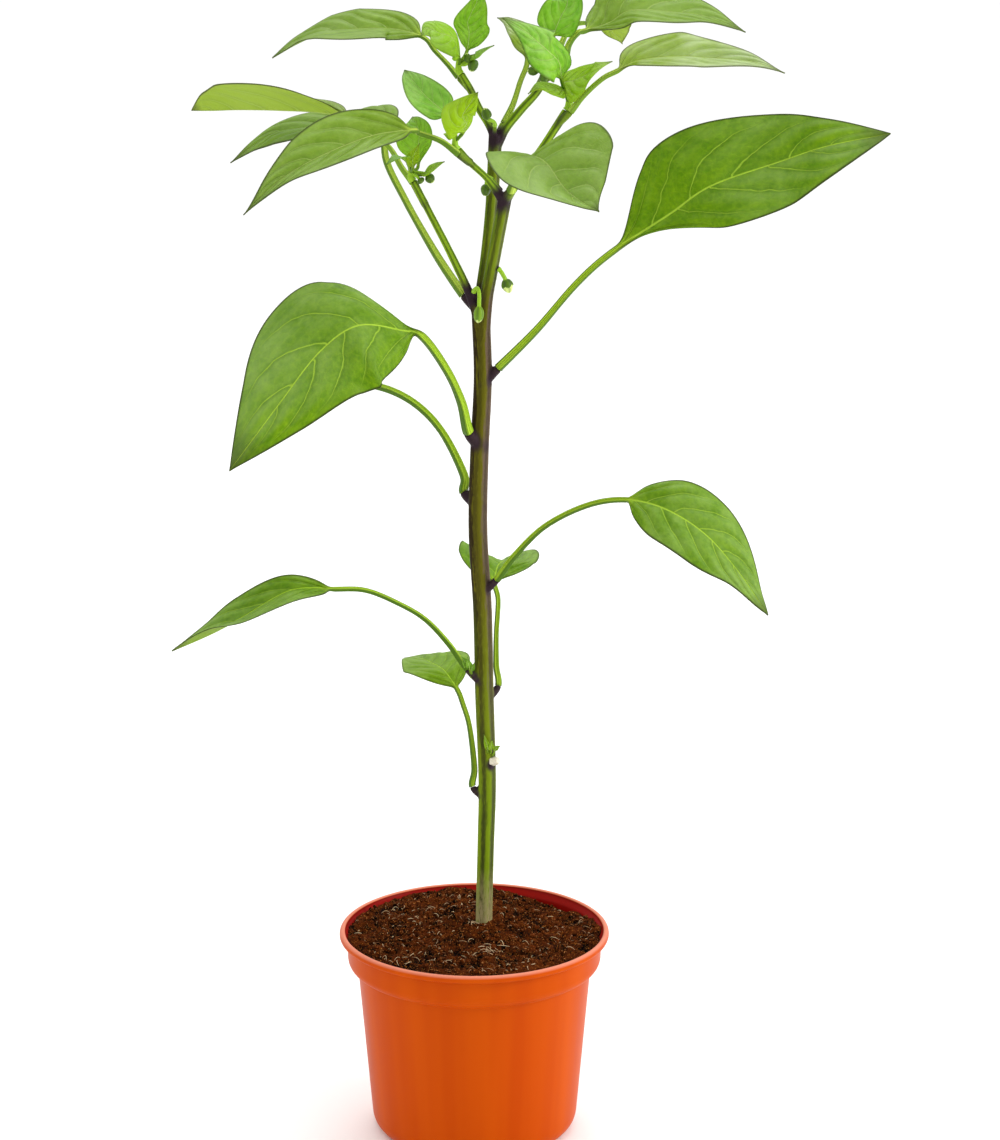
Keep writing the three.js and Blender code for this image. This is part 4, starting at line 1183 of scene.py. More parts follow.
@dataclass(frozen=True)
class Shoot:
    """A growing tip: a short upright core on the end of its limb, with young leaves and buds."""

    branch: Limb
    leaves: tuple[Leaf, ...]
    buds: tuple[Bud, ...] = ()
    neck: float = 2.0  # mm onward from the limb's end
    height: float = 5.0  # mm up from there

    def core(self) -> tuple[Limb, Place]:
        """Works out its core.

        Returns:
            The core, and the place 40 % up it where its leaves and buds part.
        """
        before, end = (np.array(p, float) for p in self.branch.places[-2:])
        onward = end + unit(end - before) * self.neck
        top = np.array([*onward[:2], onward[2] + self.height])
        root = tuple(mix(onward, top, 0.4))
        radius = self.branch.radii[-1]
        radii = (radius, radius, radius * 0.6)
        places = (tuple(end), tuple(onward), tuple(top))
        return Limb(places, radii, depth=0.03, lift=GAP), root

    def build(self, name: str, young: bpy.types.Material, bud: bpy.types.Material) -> None:
        """Builds the young leaves with their core, and the buds, which stand for one node.

        Args:
            name: The node.
            young: The leaves' material.
            bud: The buds' material.
        """
        core, root = self.core()
        solid = core.surface(18, 2 * (self.leaves[0].cells // 2 + 3))
        blank = np.zeros((len(solid.points), 1))
        ones = blank + 1
        solid.values = {
            "blade": np.hstack([blank, blank + 0.5]),
            "flat": solid.points[:, [2, 0]] / FLAT,
            "size": np.hstack([ones, ones, ones]),
            "kind": np.hstack([ones, blank, blank]),
        }
        young_leaf = {"radius": 0.8, "seated": False, "thick": 0.3, "rings": 44, "cells": 24}
        grown = [
            replace(
                leaf, stalk=(root, *leaf.stalk), wave=min(leaf.wave, 0.2), quilt=0.035 * leaf.width,
                **young_leaf,
            ).surface()
            for leaf in self.leaves
        ]
        dress(Surface.joined([solid, *grown]).mesh(name + "_leaves"), young, (name,))
        if self.buds:
            tips = [
                replace(one, places=(root, *one.places), seated=False).surface(60, 20)
                for one in self.buds
            ]
            dress(Surface.joined(tips).mesh(name + "_buds"), bud, (name,))


# ---- Pot and soil ------------------------------------------------------------------------------


def rounded(corners: list[tuple[float, float, float]], steps: int = 6) -> Array:
    """A profile with its corners rounded.

    Each corner is cut back along both of its edges by its reach, at most 45 % of the edge, and the
    cut is filled with a parabola that leaves and meets the edges along them.

    Args:
        corners: Radius, height and reach of the rounding, in mm, from the axis back to the axis.
        steps: Points of each rounding.

    Returns:
        The profile's points, with their radius and height.
    """
    places = np.array(corners, float)[:, :2]
    path = [places[:1]]
    share = np.linspace(0, 1, steps)[:, None]
    for before, corner, after, (_, _, reach) in zip(places, places[1:], places[2:], corners[1:]):
        back, on = before - corner, after - corner
        far_back, far_on = np.linalg.norm(back), np.linalg.norm(on)
        start = corner + back / far_back * min(reach, 0.45 * far_back)
        end = corner + on / far_on * min(reach, 0.45 * far_on)
        path.append(mix(mix(start, corner, share), mix(corner, end, share), share))
    return np.vstack([*path, places[-1:]])


@dataclass(frozen=True)
class Pot:
    """The round nursery pot: tapered body, collar, rolled lip and drain holes. Sizes in mm."""

    height: float = 93.0
    base_radius: float = 41.8
    base_thickness: float = 1.8
    wall: float = 1.4
    foot: tuple[float, float] = (45.6, 4.5)  # radius and height, as in the next two
    waist: tuple[float, float] = (51.9, 76.0)
    collar: tuple[float, float] = (56.3, 79.0)
    lip: tuple[float, float] = (60.0, 3.5)  # radius, and how deep it is
    drains: int = 6
    drain_radius: float = 3.2
    drain_circle: float = 29.0  # radius on which they lie
    around: int = 192
    girth_radius: float = 55.0  # at which the mm round it are counted for its flow lines
    finish: PotFinish = PotFinish()

    def lip_inside(self) -> tuple[tuple[float, float], ...]:
        """Works out the lip's inside: nearly upright, then rounded in to the collar.

        Returns:
            Its places from the top, as radius and height.
        """
        (lip, deep), inner = self.lip, self.collar[0] - self.wall
        under = self.height - deep
        return (
            (lip - 2.4, self.height - 0.2), (lip - 2.7, self.height - 1.4), (inner + 0.5, under + 0.1),
            (inner, under - 3),
        )

    def inside(self, z: Array | float) -> Array:
        """Works out its inner radius, along straight walls.

        Args:
            z: Heights.

        Returns:
            The radius at each.
        """
        wall = [(self.base_radius, self.base_thickness)]
        wall += [(r - self.wall, z) for r, z in (self.foot, self.waist, self.collar)]
        radii, heights = zip(*wall, *self.lip_inside()[::-1])
        return np.interp(z, heights, radii)

    def profile(self) -> Array:
        """Works out the profile that is turned about its axis.

        Returns:
            Places from the middle of the underside, up outside and down inside.
        """
        lip, deep = self.lip
        under = self.height - deep
        inner = self.collar[0] - self.wall
        return rounded([
            (0, 0, 0), (self.base_radius - 6, 0, 1), (self.base_radius - 5, 0.35, 1),
            (self.base_radius - 3, 0.35, 1), (self.base_radius - 2, 0, 1),
            (self.base_radius, 0, 2.4), (*self.foot, 3.5), (*self.waist, 1.2),
            (self.waist[0] + 2.6, self.waist[1] + 0.7, 1.6), (*self.collar, 2.2),
            (self.collar[0] + 0.2, under, 1.0), (lip - 0.6, under + 0.1, 1.2),
            (lip, under + 1.2, 0.9), (lip - 0.2, self.height - 0.8, 0.9),
            (lip - 1.2, self.height, 0.7), *((*place, 0.8) for place in self.lip_inside()),
            (inner, self.collar[1], 1.5),
            (self.waist[0] - self.wall, self.waist[1], 1.5),
            (self.foot[0] - self.wall, self.foot[1], 2.0),
            (self.base_radius - 1, self.base_thickness, 2.0), (0, self.base_thickness, 0),
        ])

    def surface(self) -> Surface:
        """Turns the profile about the axis.

        Returns:
            The pot's skin, with what PotFinish reads.
        """
        profile = self.profile()
        profile[[0, -1], 0] = 0.5  # a small ring at each pole, closed by a strip of faces
        angle = np.linspace(0, 2 * np.pi, self.around, endpoint=False)
        radius, height = profile[:, :1], profile[:, 1:]
        rings = np.stack([radius * np.cos(angle), radius * np.sin(angle), height + 0 * angle], axis=-1)
        walked = np.concatenate([[0], np.cumsum(np.linalg.norm(np.diff(profile, axis=0), axis=1))])
        turn = np.abs(angle - np.pi) * self.girth_radius  # counted both ways, so without a seam
        turn = np.broadcast_to(turn, rings.shape[:2])
        wall = np.stack([turn, np.broadcast_to(walked[:, None], turn.shape)], axis=-1) / FLAT
        top = np.argmax(profile[:, 1])
        # the inner wall, which PotFinish darkens with painted shade
        inner = (np.arange(len(profile)) > top + 4) & (profile[:, 1] < self.height - 0.6)
        inside = np.broadcast_to(inner[:, None] * 1.0, turn.shape)
        return Surface.skin(rings, wall=wall, inside=inside)

    def build(self) -> None:
        """Builds the pot and bores its drain holes."""
        material = self.finish.material()
        pot = dress(self.surface().mesh("nursery_pot"), material, ("pot",))
        angles = (np.arange(self.drains) + 0.5) * 2 * np.pi / self.drains
        spots = np.stack([np.cos(angles), np.sin(angles)], axis=1) * self.drain_circle
        bores = [
            Limb(((x, y, -3), (x, y, 1), (x, y, 5)), (self.drain_radius,) * 2, depth=0.0).surface(3, 32)
            for x, y in spots
        ]
        cutter = bpy.data.objects.new("drain_bores", Surface.joined(bores).mesh("drain_bores"))
        bpy.context.scene.collection.objects.link(cutter)
        cut = pot.modifiers.new("drains", "BOOLEAN")
        cut.operation, cut.object, cut.solver = "DIFFERENCE", cutter, "EXACT"
        graph = bpy.context.evaluated_depsgraph_get()
        bored = bpy.data.meshes.new_from_object(pot.evaluated_get(graph))
        pot.modifiers.clear()
        bpy.data.objects.remove(cutter)
        bored.name = "nursery_pot"
        bored.set_sharp_from_angle(angle=math.radians(40))
        pot.data = bored


@dataclass(frozen=True)
class Soil:
    """Peat compost that fills the pot, with crumbs, straw and roots on it. Sizes in mm."""

    pot: Pot
    stem: tuple[float, float] = (4.0, 7.6)
    clearing: float = 6.0  # round the stem, where no crumb or fibre lies
    level: float = 91.2
    mound: float = 2.4
    mound_radius: float = 17.0
    lumps: float = 0.55
    dip: float = 2.8
    dip_place: tuple[float, float] = (36.0, 38.0)
    dip_spread: float = 500.0  # square of the distance at which it is 1/e as deep
    rings: int = 120
    around: int = 384
    crumbs: int = 2600
    fibres: int = 300
    # where roots and straw lie thick: x, y, how far they spread, how many, and their length
    tangles: tuple[tuple[float, float, float, int, float], ...] = (
        (10.0, -23.0, 4.5, 13, 8.0), (-31.0, -39.0, 6.0, 10, 6.0), (0.0, 3.2, 2.2, 12, 2.4),
        (21.0, -42.0, 7.0, 12, 4.0), (-30.0, 22.0, 9.0, 10, 2.5),
    )

    def plain(self, x: Array, y: Array) -> Array:
        """Height of the soil without its crumbs, as the frame's solid has it.

        It has a low mound round the stem, long lumps from crossed sines, and a dip on the far
        right.

        Args:
            x: Places across.
            y: Places away from the camera.

        Returns:
            The heights.
        """
        away = np.hypot(x - self.stem[0], y - self.stem[1]) / self.mound_radius
        lumps = np.sin(0.31 * x + 1.7) * np.cos(0.27 * y) + 0.6 * np.sin(0.17 * x - 0.38 * y)
        east, north = self.dip_place
        dip = self.dip * np.exp(-((x - east) ** 2 + (y - north) ** 2) / self.dip_spread)
        return self.level + self.mound * np.exp(-away * away) + self.lumps * lumps - dip

    def grain(self, x: Array, y: Array) -> Array:
        """How far the crumbly surface stands out: noise of 7, 2.6 and 1.1 mm grain.

        Args:
            x: Places across.
            y: Places away from the camera.

        Returns:
            The rises.
        """
        coarse = lattice_noise(x / 7.0 + 40, y / 7.0 + 40, 1)
        clods = 1 - 2 * np.abs(lattice_noise(x / 2.6 + 40, y / 2.6 + 40, 2))
        grit = 1 - 2 * np.abs(lattice_noise(x / 1.1 + 70, y / 1.1 + 70, 3))
        return 0.8 * coarse + 0.6 * clods + 0.45 * grit

    def height(self, x: Array, y: Array) -> Array:
        """Height of the crumbly surface."""
        return self.plain(x, y) + self.grain(x, y)

    def edge(self, angle: Array) -> Array:
        """The radius at which it meets the pot's wall, which stands out more the higher it is."""
        reach = self.pot.lip[0] - 4
        return self.pot.inside(self.plain(reach * np.cos(angle), reach * np.sin(angle))) - 1.5 * GAP

    def surface(self) -> Surface:
        """Works out the filled body: crumbly top, then down the pot's wall to its floor.

        Returns:
            Its skin.
        """
        angle = np.linspace(0, -2 * np.pi, self.around, endpoint=False)[None]
        share = np.linspace(0.004, 1, self.rings)[:, None] ** 0.85
        rim = self.edge(angle)
        x, y = share * rim * np.cos(angle), share * rim * np.sin(angle)
        settle = 0.7 * ease(0.965, 1.0, share)  # it has drawn back from the wall a little
        top = np.stack([x, y, self.height(x, y) - settle], axis=-1)
        levels = np.array([86.8, self.pot.collar[1], self.pot.waist[1], 40.0, self.pot.foot[1] + GAP])
        radii = self.pot.inside(levels) - GAP
        low = self.pot.base_thickness + GAP
        levels, radii = np.append(levels, [low, low]), np.append(radii, [radii[-1] * 0.93, 0.5])
        shape = np.stack([np.cos(angle[0]), np.sin(angle[0]), np.zeros(self.around)], axis=-1)
        down = radii[:, None, None] * shape + levels[:, None, None] * np.array([0, 0, 1.0])
        rings = np.vstack([top, down])
        shade = ease(-0.7, 1.1, self.grain(rings[..., 0], rings[..., 1]))  # painted shade, darkest in its hollows
        return Surface.skin(rings, shade=shade)

    def scattered(self, count: int, seed: int, edge: float = 1.6) -> tuple[Array, Array, Array]:
        """Strews places evenly on the surface, clear of the wall and the stem.

        Args:
            count: How many, with those that fall too near the stem.
            seed: The draws' seed.
            edge: How far they stay from the wall.

        Returns:
            Their x, their y, and twelve draws from 0 to 1 for each.
        """
        rng = np.random.default_rng(seed)
        angle = rng.random(count) * 2 * np.pi
        radius = (self.edge(angle) - edge) * np.sqrt(rng.random(count))
        x, y = radius * np.cos(angle), radius * np.sin(angle)
        clear = np.hypot(x - self.stem[0], y - self.stem[1]) > self.clearing
        x, y = x[clear], y[clear]
        return x, y, rng.random((len(x), 12))

    def crumb_surface(self) -> Surface:
        """Works out the crumbs: rough balls of 6 x 5 faces, stretched, turned and half sunk.

        Returns:
            Their skins.
        """
        x, y, draw = self.scattered(self.crumbs, 11)
        size = 0.25 + 0.9 * draw[:, 0] ** 4
        polar = np.linspace(0.12, np.pi - 0.12, 6)[:, None]
        angle = np.linspace(0, -2 * np.pi, 6, endpoint=False)[None]
        ball = np.stack([np.sin(polar) * np.cos(angle), np.sin(polar) * np.sin(angle),
                         np.cos(polar) + 0 * angle], axis=-1)
        rough = 1 + 0.5 * (np.random.default_rng(12).random((len(x), 6, 6, 1)) - 0.5)
        stretch = 0.7 + 0.8 * draw[:, None, None, 1:4]
        local = ball * rough * stretch * size[:, None, None, None]
        turn = draw[:, 4] * 2 * np.pi
        cos, sin = (f(turn)[:, None, None] for f in (np.cos, np.sin))
        local = np.stack([local[..., 0] * cos - local[..., 1] * sin,
                          local[..., 0] * sin + local[..., 1] * cos, local[..., 2]], axis=-1)
        lift = self.height(x, y) + size * 0.25
        local += np.stack([x, y, lift], axis=-1)[:, None, None]
        shade = np.broadcast_to(draw[:, None, None, 5], local.shape[:3])
        balls = [Surface.skin(rings, shade=one) for rings, one in zip(local, shade)]
        return Surface.joined(balls)

    def fibre_surface(self) -> Surface:
        """Works out straw and root ends: thin tapered tubes along arcs that rise off the soil.

        Returns:
            Their skins.
        """
        x, y, draw = self.scattered(self.fibres, 21, edge=3.0)
        length = 1.2 + 4.5 * draw[:, 0] ** 2.5
        rng = np.random.default_rng(22)
        for east, north, spread, count, reach in self.tangles:
            place = (east, north) + spread * rng.uniform(-1, 1, (count, 2))
            more = rng.random((count, 12))
            more[:, 5] = 0.7 + 0.3 * more[:, 5]
            x, y, draw = np.append(x, place[:, 0]), np.append(y, place[:, 1]), np.vstack([draw, more])
            length = np.append(length, reach * (0.5 + 0.5 * more[:, 0]))
        heading, bend = draw[:, 1] * 2 * np.pi, (draw[:, 2] - 0.5) * 2.8
        step = np.linspace(-0.5, 0.5, 9)
        way = heading[:, None] + bend[:, None] * step
        px = x[:, None] + np.cumsum(np.cos(way), axis=1) * length[:, None] / 9
        py = y[:, None] + np.cumsum(np.sin(way), axis=1) * length[:, None] / 9
        keep = (np.hypot(px, py) < self.edge(np.arctan2(py, px)) - 0.6).all(axis=1)
        px, py, draw, length = px[keep], py[keep], draw[keep], length[keep]
        arch = (0.3 + 1.0 * draw[:, 3] ** 2) * np.minimum(1.5, length / 4)
        pz = self.plain(px, py) + 0.85 + arch[:, None] * np.sin(np.pi * (step + 0.5))
        radius = 0.07 + 0.1 * draw[:, 4] ** 2
        places = (tuple(map(tuple, np.stack(place, axis=1))) for place in zip(px, py, pz))
        tubes = [
            Limb(place, (r * 0.6, r, r, r * 0.4), depth=0.0).surface(9, 6)
            for place, r in zip(places, radius)
        ]
        for tube, one in zip(tubes, draw):
            tube.values["shade"] = np.full((len(tube.points), 1), one[5])
        return Surface.joined(tubes)

    def build(self) -> None:
        """Builds the soil, its crumbs and its fibres."""
        peat = PeatFinish("damp_peat", "#030000", "#4A1E04", "#A86426", 0.06).material()
        crumb = PeatFinish("peat_crumb", "#050100", "#582608", "#C08048", 0.07).material()
        dress(self.surface().mesh("peat_soil"), peat, ("soil",))
        dress(self.crumb_surface().mesh("peat_crumbs"), crumb)
        dress(self.fibre_surface().mesh("straw_and_roots"), FibreFinish().material())


# ---- Places of the plant -----------------------------------------------------------------------

# Each limb of the stem: the places it runs through and its radius at each, thick end first
LIMBS: dict[str, Limb] = {
    "trunk": Limb(
        places=(
            (4, 7.6, 51.3), (4, 7.6, 70), (4, 7.6, 91),
            (4.9, 7, 129), (5.6, 6, 160), (4.4, 4, 200), (3.6, 2.5, 240), (1.7, 1, 275), (2.4, 0, 310),
            (3.9, 0, 343), (3, 0, 372),
        ),
        radii=(2.4, 3.6, 3.7, 3.7, 3.9, 4.1, 4.1, 4.1, 4, 3.9, 3.9),
    ),
    "front": Limb(
        places=((4, 0, 360), (5.4, -2, 377), (7.7, -4, 390), (11.8, -6, 412), (13.6, -7, 423)),
        radii=(3, 2.9, 2.8, 2.8, 3), youth=0.45,
    ),
    "back": Limb(
        places=((3, 0, 362), (3.4, 3, 377), (5.7, 8, 394), (7.8, 12, 415), (9.4, 13, 445)),
        radii=(3, 2.8, 2.7, 2.7, 2.9), youth=0.45,
    ),
    "left": Limb(
        places=((3, 0, 364), (-1, -1, 378), (-10, -3, 398), (-18, -4, 414), (-25, -5, 428)),
        radii=(2.2, 1.9, 1.6, 1.5, 1.6), youth=1,
    ),
    "front_left": Limb(
        places=((13, -7, 420), (8, -8, 427), (5, -10, 431), (-1, -13, 437), (-6, -16, 443)),
        radii=(2.2, 1.7, 1.4, 1.4, 1.5), youth=1,
    ),
    "front_right": Limb(
        places=((13, -7, 419), (16, -7, 424), (22, -6, 432), (30, -3, 443), (39.2, -0.5, 456.8)),
        radii=(2.4, 2, 1.8, 1.7, 1.9), youth=1,
    ),
    "back_left": Limb(
        places=((10, 13, 442), (7, 13, 449), (2.6, 13, 456), (-1, 12, 464), (-5, 11, 471)),
        radii=(2.2, 1.9, 1.7, 1.6, 1.5), youth=1,
    ),
    "back_right": Limb(
        places=((10, 13, 441), (14, 14, 448), (21, 16, 456), (28, 18, 464), (34, 22, 477)),
        radii=(2.4, 2, 1.8, 1.7, 1.8), youth=1,
    ),
}

# Each leaf: its stalk from inside the stem, by its seat, to the blade, then the blade's midrib, its
# width, and the way its upper face looks at the base and the tip
LEAVES: dict[str, Leaf] = {
    "leaf_bottom_left": Leaf(
        stalk=((6, 6, 151), (-0.6, 6, 157), (0.1, 8.6, 165), (-2, 11.5, 183),
            (-5, 14, 193), (-7.5, 19, 198)),
        blade=((-13, 27, 204), (-18, 35, 205), (-24.5, 46, 204.5), (-32, 65.5, 199)),
        width=32, face=(0, -0.2, 0.9), tip_face=(0.04, -0.31, 0.9), radius=1.25,
        widest=0.84, full=1.25, taper=0.05, fold=0.16, wave=0.45, tender=0.15,
    ),
    "leaf_low_back": Leaf(
        stalk=((5, 4, 197), (10.6, 8, 203), (9.8, 12, 211), (9.8, 15, 224.5),
            (10.6, 19, 239), (9, 26, 245)),
        blade=((10.5, 36, 250), (13, 45, 250), (12, 57.5, 247), (12, 73.5, 242)),
        width=36, face=(0.07, -0.35, 0.95), tip_face=(-0.12, -0.42, 0.95), radius=1.25,
        widest=0.66, taper=0.04, skew=-0.06, fold=0.18, curl=0.1, wave=0.7, phase=1.1,
    ),
    "leaf_low_left": Leaf(
        stalk=((4, 3, 205), (-3, 0, 213), (-11, -3, 225.5), (-20.5, -8, 237.5), (-31, -14, 246),
            (-45.5, -20, 254), (-59, -25, 256)),
        blade=((-77.5, -31, 257), (-98, -32, 245.5), (-112, -34, 238.5), (-128, -38.5, 232.5)),
        width=30, face=(-0.05, -0.73, 1), tip_face=(-0.16, 0.24, 1), radius=1.15,
        widest=0.98, full=1, taper=0.05, skew=-0.35, fold=0.45, curl=0, wave=0.1,
    ),
    "leaf_middle_right": Leaf(
        stalk=((4, 2, 247), (10, -2, 254), (17.5, -8, 266), (30.5, -16, 281.3), (48, -25, 292.7),
            (64, -32, 297)),
        blade=((80, -43, 296), (96.5, -52, 287.5), (110, -56, 273), (123, -64.5, 255.5)),
        width=35, face=(0.19, -0.99, 0.6), tip_face=(0.55, -0.5, 0.5), radius=1.3,
        widest=0.82, full=0.95, taper=0.05, skew=-0.07, fold=0.14, curl=-0.18, wave=0.7, phase=1.6,
    ),
    "leaf_middle_back": Leaf(
        stalk=((2, 1, 286), (-4, 4, 291.5), (-4.3, 8, 298.5), (-14, 16, 316), (-26.5, 24, 327),
            (-42, 33, 332)),
        blade=((-58, 41, 330.5), (-68, 49, 326), (-82, 58, 318), (-91, 65, 308.5)),
        width=42, face=(-0.12, -0.5, 1), tip_face=(0, -0.2, 1), radius=1.7, phase=3,
    ),
    "leaf_big_left": Leaf(
        stalk=((3, 0, 313), (-2, -5, 320), (-5, -11, 334.5), (-11, -19, 350), (-21, -27, 366)),
        blade=((-29.5, -31.5, 369.5), (-47, -49.5, 375), (-62.5, -57, 365.5), (-79, -70, 346),
            (-98.5, -83, 321.5)),
        width=58, face=(-0.28, -1.1, 0.8), tip_face=(-0.03, -0.97, 0.3), radius=1.9,
        widest=0.85, full=0.98, taper=0.22, lean=0.12, skew=0.06, fold=0.09, curl=-0.28, phase=1.5,
    ),
    "leaf_big_right": Leaf(
        stalk=((4, 0, 340), (10.5, -1, 347), (27, -2, 364), (43.6, -4, 384), (58.6, -6, 398)),
        blade=((82.5, -11, 415), (99.5, -15, 427.5), (128, -14, 437.5),
            (147.5, -20, 445), (173.3, -19, 450)),
        width=48.5, face=(0.01, -0.96, 0.45), tip_face=(-0.26, -0.8, 0.45), radius=1.6,
        widest=0.64, full=0.88, lean=0.32, skew=-0.12, fold=0.14, curl=-0.08, wave=0.7, phase=5.3,
    ),
    "leaf_upper_back": Leaf(
        stalk=((2, 1, 372), (-4, 3, 378), (-13, 9, 390), (-21, 14, 402.5), (-29, 20, 416),
            (-37, 26, 431.5), (-39, 34, 443.5)),
        blade=((-46, 45, 448.5), (-61.5, 55, 443), (-86.5, 65, 438.5), (-107, 67, 425)),
        width=42, face=(0, 0, 0.97), tip_face=(0.16, -0.48, 0.97), radius=1.6,
        widest=0.76, full=1.28, taper=0.05, skew=-0.1, fold=0.3, curl=-0.23, phase=4.2, kind=LeafKind.TOP,
    ),
    "leaf_upper_left": Leaf(
        stalk=((-20, -4, 418), (-25, 0, 426), (-30, 3, 432.5), (-35, 8, 440),
            (-43, 14, 446), (-52, 23, 451)),
        blade=((-66, 30.5, 452.5), (-83, 39, 452), (-101.5, 52, 450.5),
            (-113.5, 57, 449.5), (-123, 61, 449)),
        width=37, face=(0.05, 0.12, 0.9), tip_face=(0, 0.35, 0.9), radius=1.2,
        widest=0.88, full=0.95, taper=0.06, skew=-0.12, fold=0.58, curl=-0.15, wave=0.2,
        kind=LeafKind.TENDER,
    ),
    "leaf_upper_front": Leaf(
        stalk=((-1, -13, 437), (-6, -19, 441.5), (-13, -23, 447.5), (-22, -28, 451.5), (-24, -32, 453)),
        blade=((-38, -39, 452.5), (-52, -48.5, 449), (-67.5, -59, 443),
            (-79, -65, 436), (-91.5, -74, 425)),
        width=26, face=(0, -0.77, 0.9), tip_face=(0.15, -0.34, 0.9), radius=1.25,
        widest=0.7, full=1.25, taper=0.05, skew=0.08, fold=0.4, curl=-0.04, wave=0.3, phase=0.8,
        kind=LeafKind.TOP,
    ),
    "leaf_front": Leaf(
        stalk=((13, -7, 420), (16, -12, 425), (18, -19, 430.5), (23.5, -27, 438), (24, -36, 442.5)),
        blade=((26.5, -48.5, 444.5), (31, -65.5, 443.5), (37, -81.5, 437),
            (44, -93, 433), (50.5, -99.5, 430.5)),
        width=50, face=(-0.16, -0.27, 0.9), tip_face=(-0.2, -0.16, 0.9), radius=1.65,
        widest=0.9, full=1.22, taper=0.05, fold=0.54, wave=0.5, phase=1.9, kind=LeafKind.TOP,
    ),
    "leaf_top_left": Leaf(
        stalk=((-1, 12, 464), (-6, 16, 468.7), (-10.3, 16, 474), (-16.2, 16.5, 480.2), (-21, 18, 485.5)),
        blade=((-34, 22.5, 488.5), (-49, 21.5, 488.5), (-62, 25, 487),
            (-74, 28.5, 482), (-85.5, 29, 475.5)),
        width=37, face=(-0.12, -0.4, 1), tip_face=(-0.15, -0.12, 1), radius=1.05,
        widest=0.76, full=0.95, taper=0.05, skew=-0.22, fold=0.32, wave=0, kind=LeafKind.TOP,
    ),
    "leaf_top_right": Leaf(
        stalk=((35.5, -1.5, 451.5), (40.8, -5, 457), (46, -5.8, 463.7), (54, -6, 471), (60, -6.5, 474.2)),
        blade=((69, -5.5, 478.5), (84.5, -12, 481), (97.5, -13.5, 480.5), (115, -18, 479.5),
            (129, -19, 475)),
        width=27, face=(-0.14, -0.5, 1), tip_face=(-0.25, -0.35, 1), radius=1.2,
        full=1.36, taper=0.07, lean=0.28, fold=0.35, wave=0, kind=LeafKind.TENDER,
    ),
    "leaf_top_back_right": Leaf(
        stalk=((29, 18, 467), (38, 21, 473), (40.5, 24, 481.5), (44.5, 25.5, 486.5), (47.5, 28, 487)),
        blade=((58, 33, 490), (67.5, 34.5, 495), (86, 36, 494), (100, 36, 492), (116, 32.5, 486)),
        width=32, face=(-0.14, -0.47, 0.95), tip_face=(0.02, -0.38, 0.95), radius=1.3,
        widest=0.79, full=1.18, taper=0.04, lean=0.1, skew=-0.18, fold=0.18, curl=-0.04, wave=0.1,
        kind=LeafKind.TOP,
    ),
    "leaf_top_back": Leaf(
        stalk=((27, 18, 463), (31, 26, 470), (37, 32, 480), (41, 41, 486.5), (47, 50, 488)),
        blade=((54, 60.5, 485.5), (58, 74, 484.5), (62, 81, 479.5), (65.5, 89.5, 474.5)),
        width=24, face=(0.02, 0.1, 1), tip_face=(-0.02, -0.04, 1), radius=1.25,
        widest=0.68, full=1.26, taper=0.1, lean=0.1, fold=0.1, curl=0, wave=0.7, phase=2.4,
        kind=LeafKind.TENDER,
    ),
    "leaf_top_pale": Leaf(
        stalk=((10, 13, 443), (13, 18, 449), (17, 20, 457), (20, 23, 466), (23, 26, 474)),
        blade=((21.7, 30, 481), (19.2, 34, 486.3), (15.2, 38, 489.5), (10.3, 41, 491.2)),
        width=11, face=(0.2, -0.8, 0.6), radius=1.3, kind=LeafKind.TENDER,
    ),
}

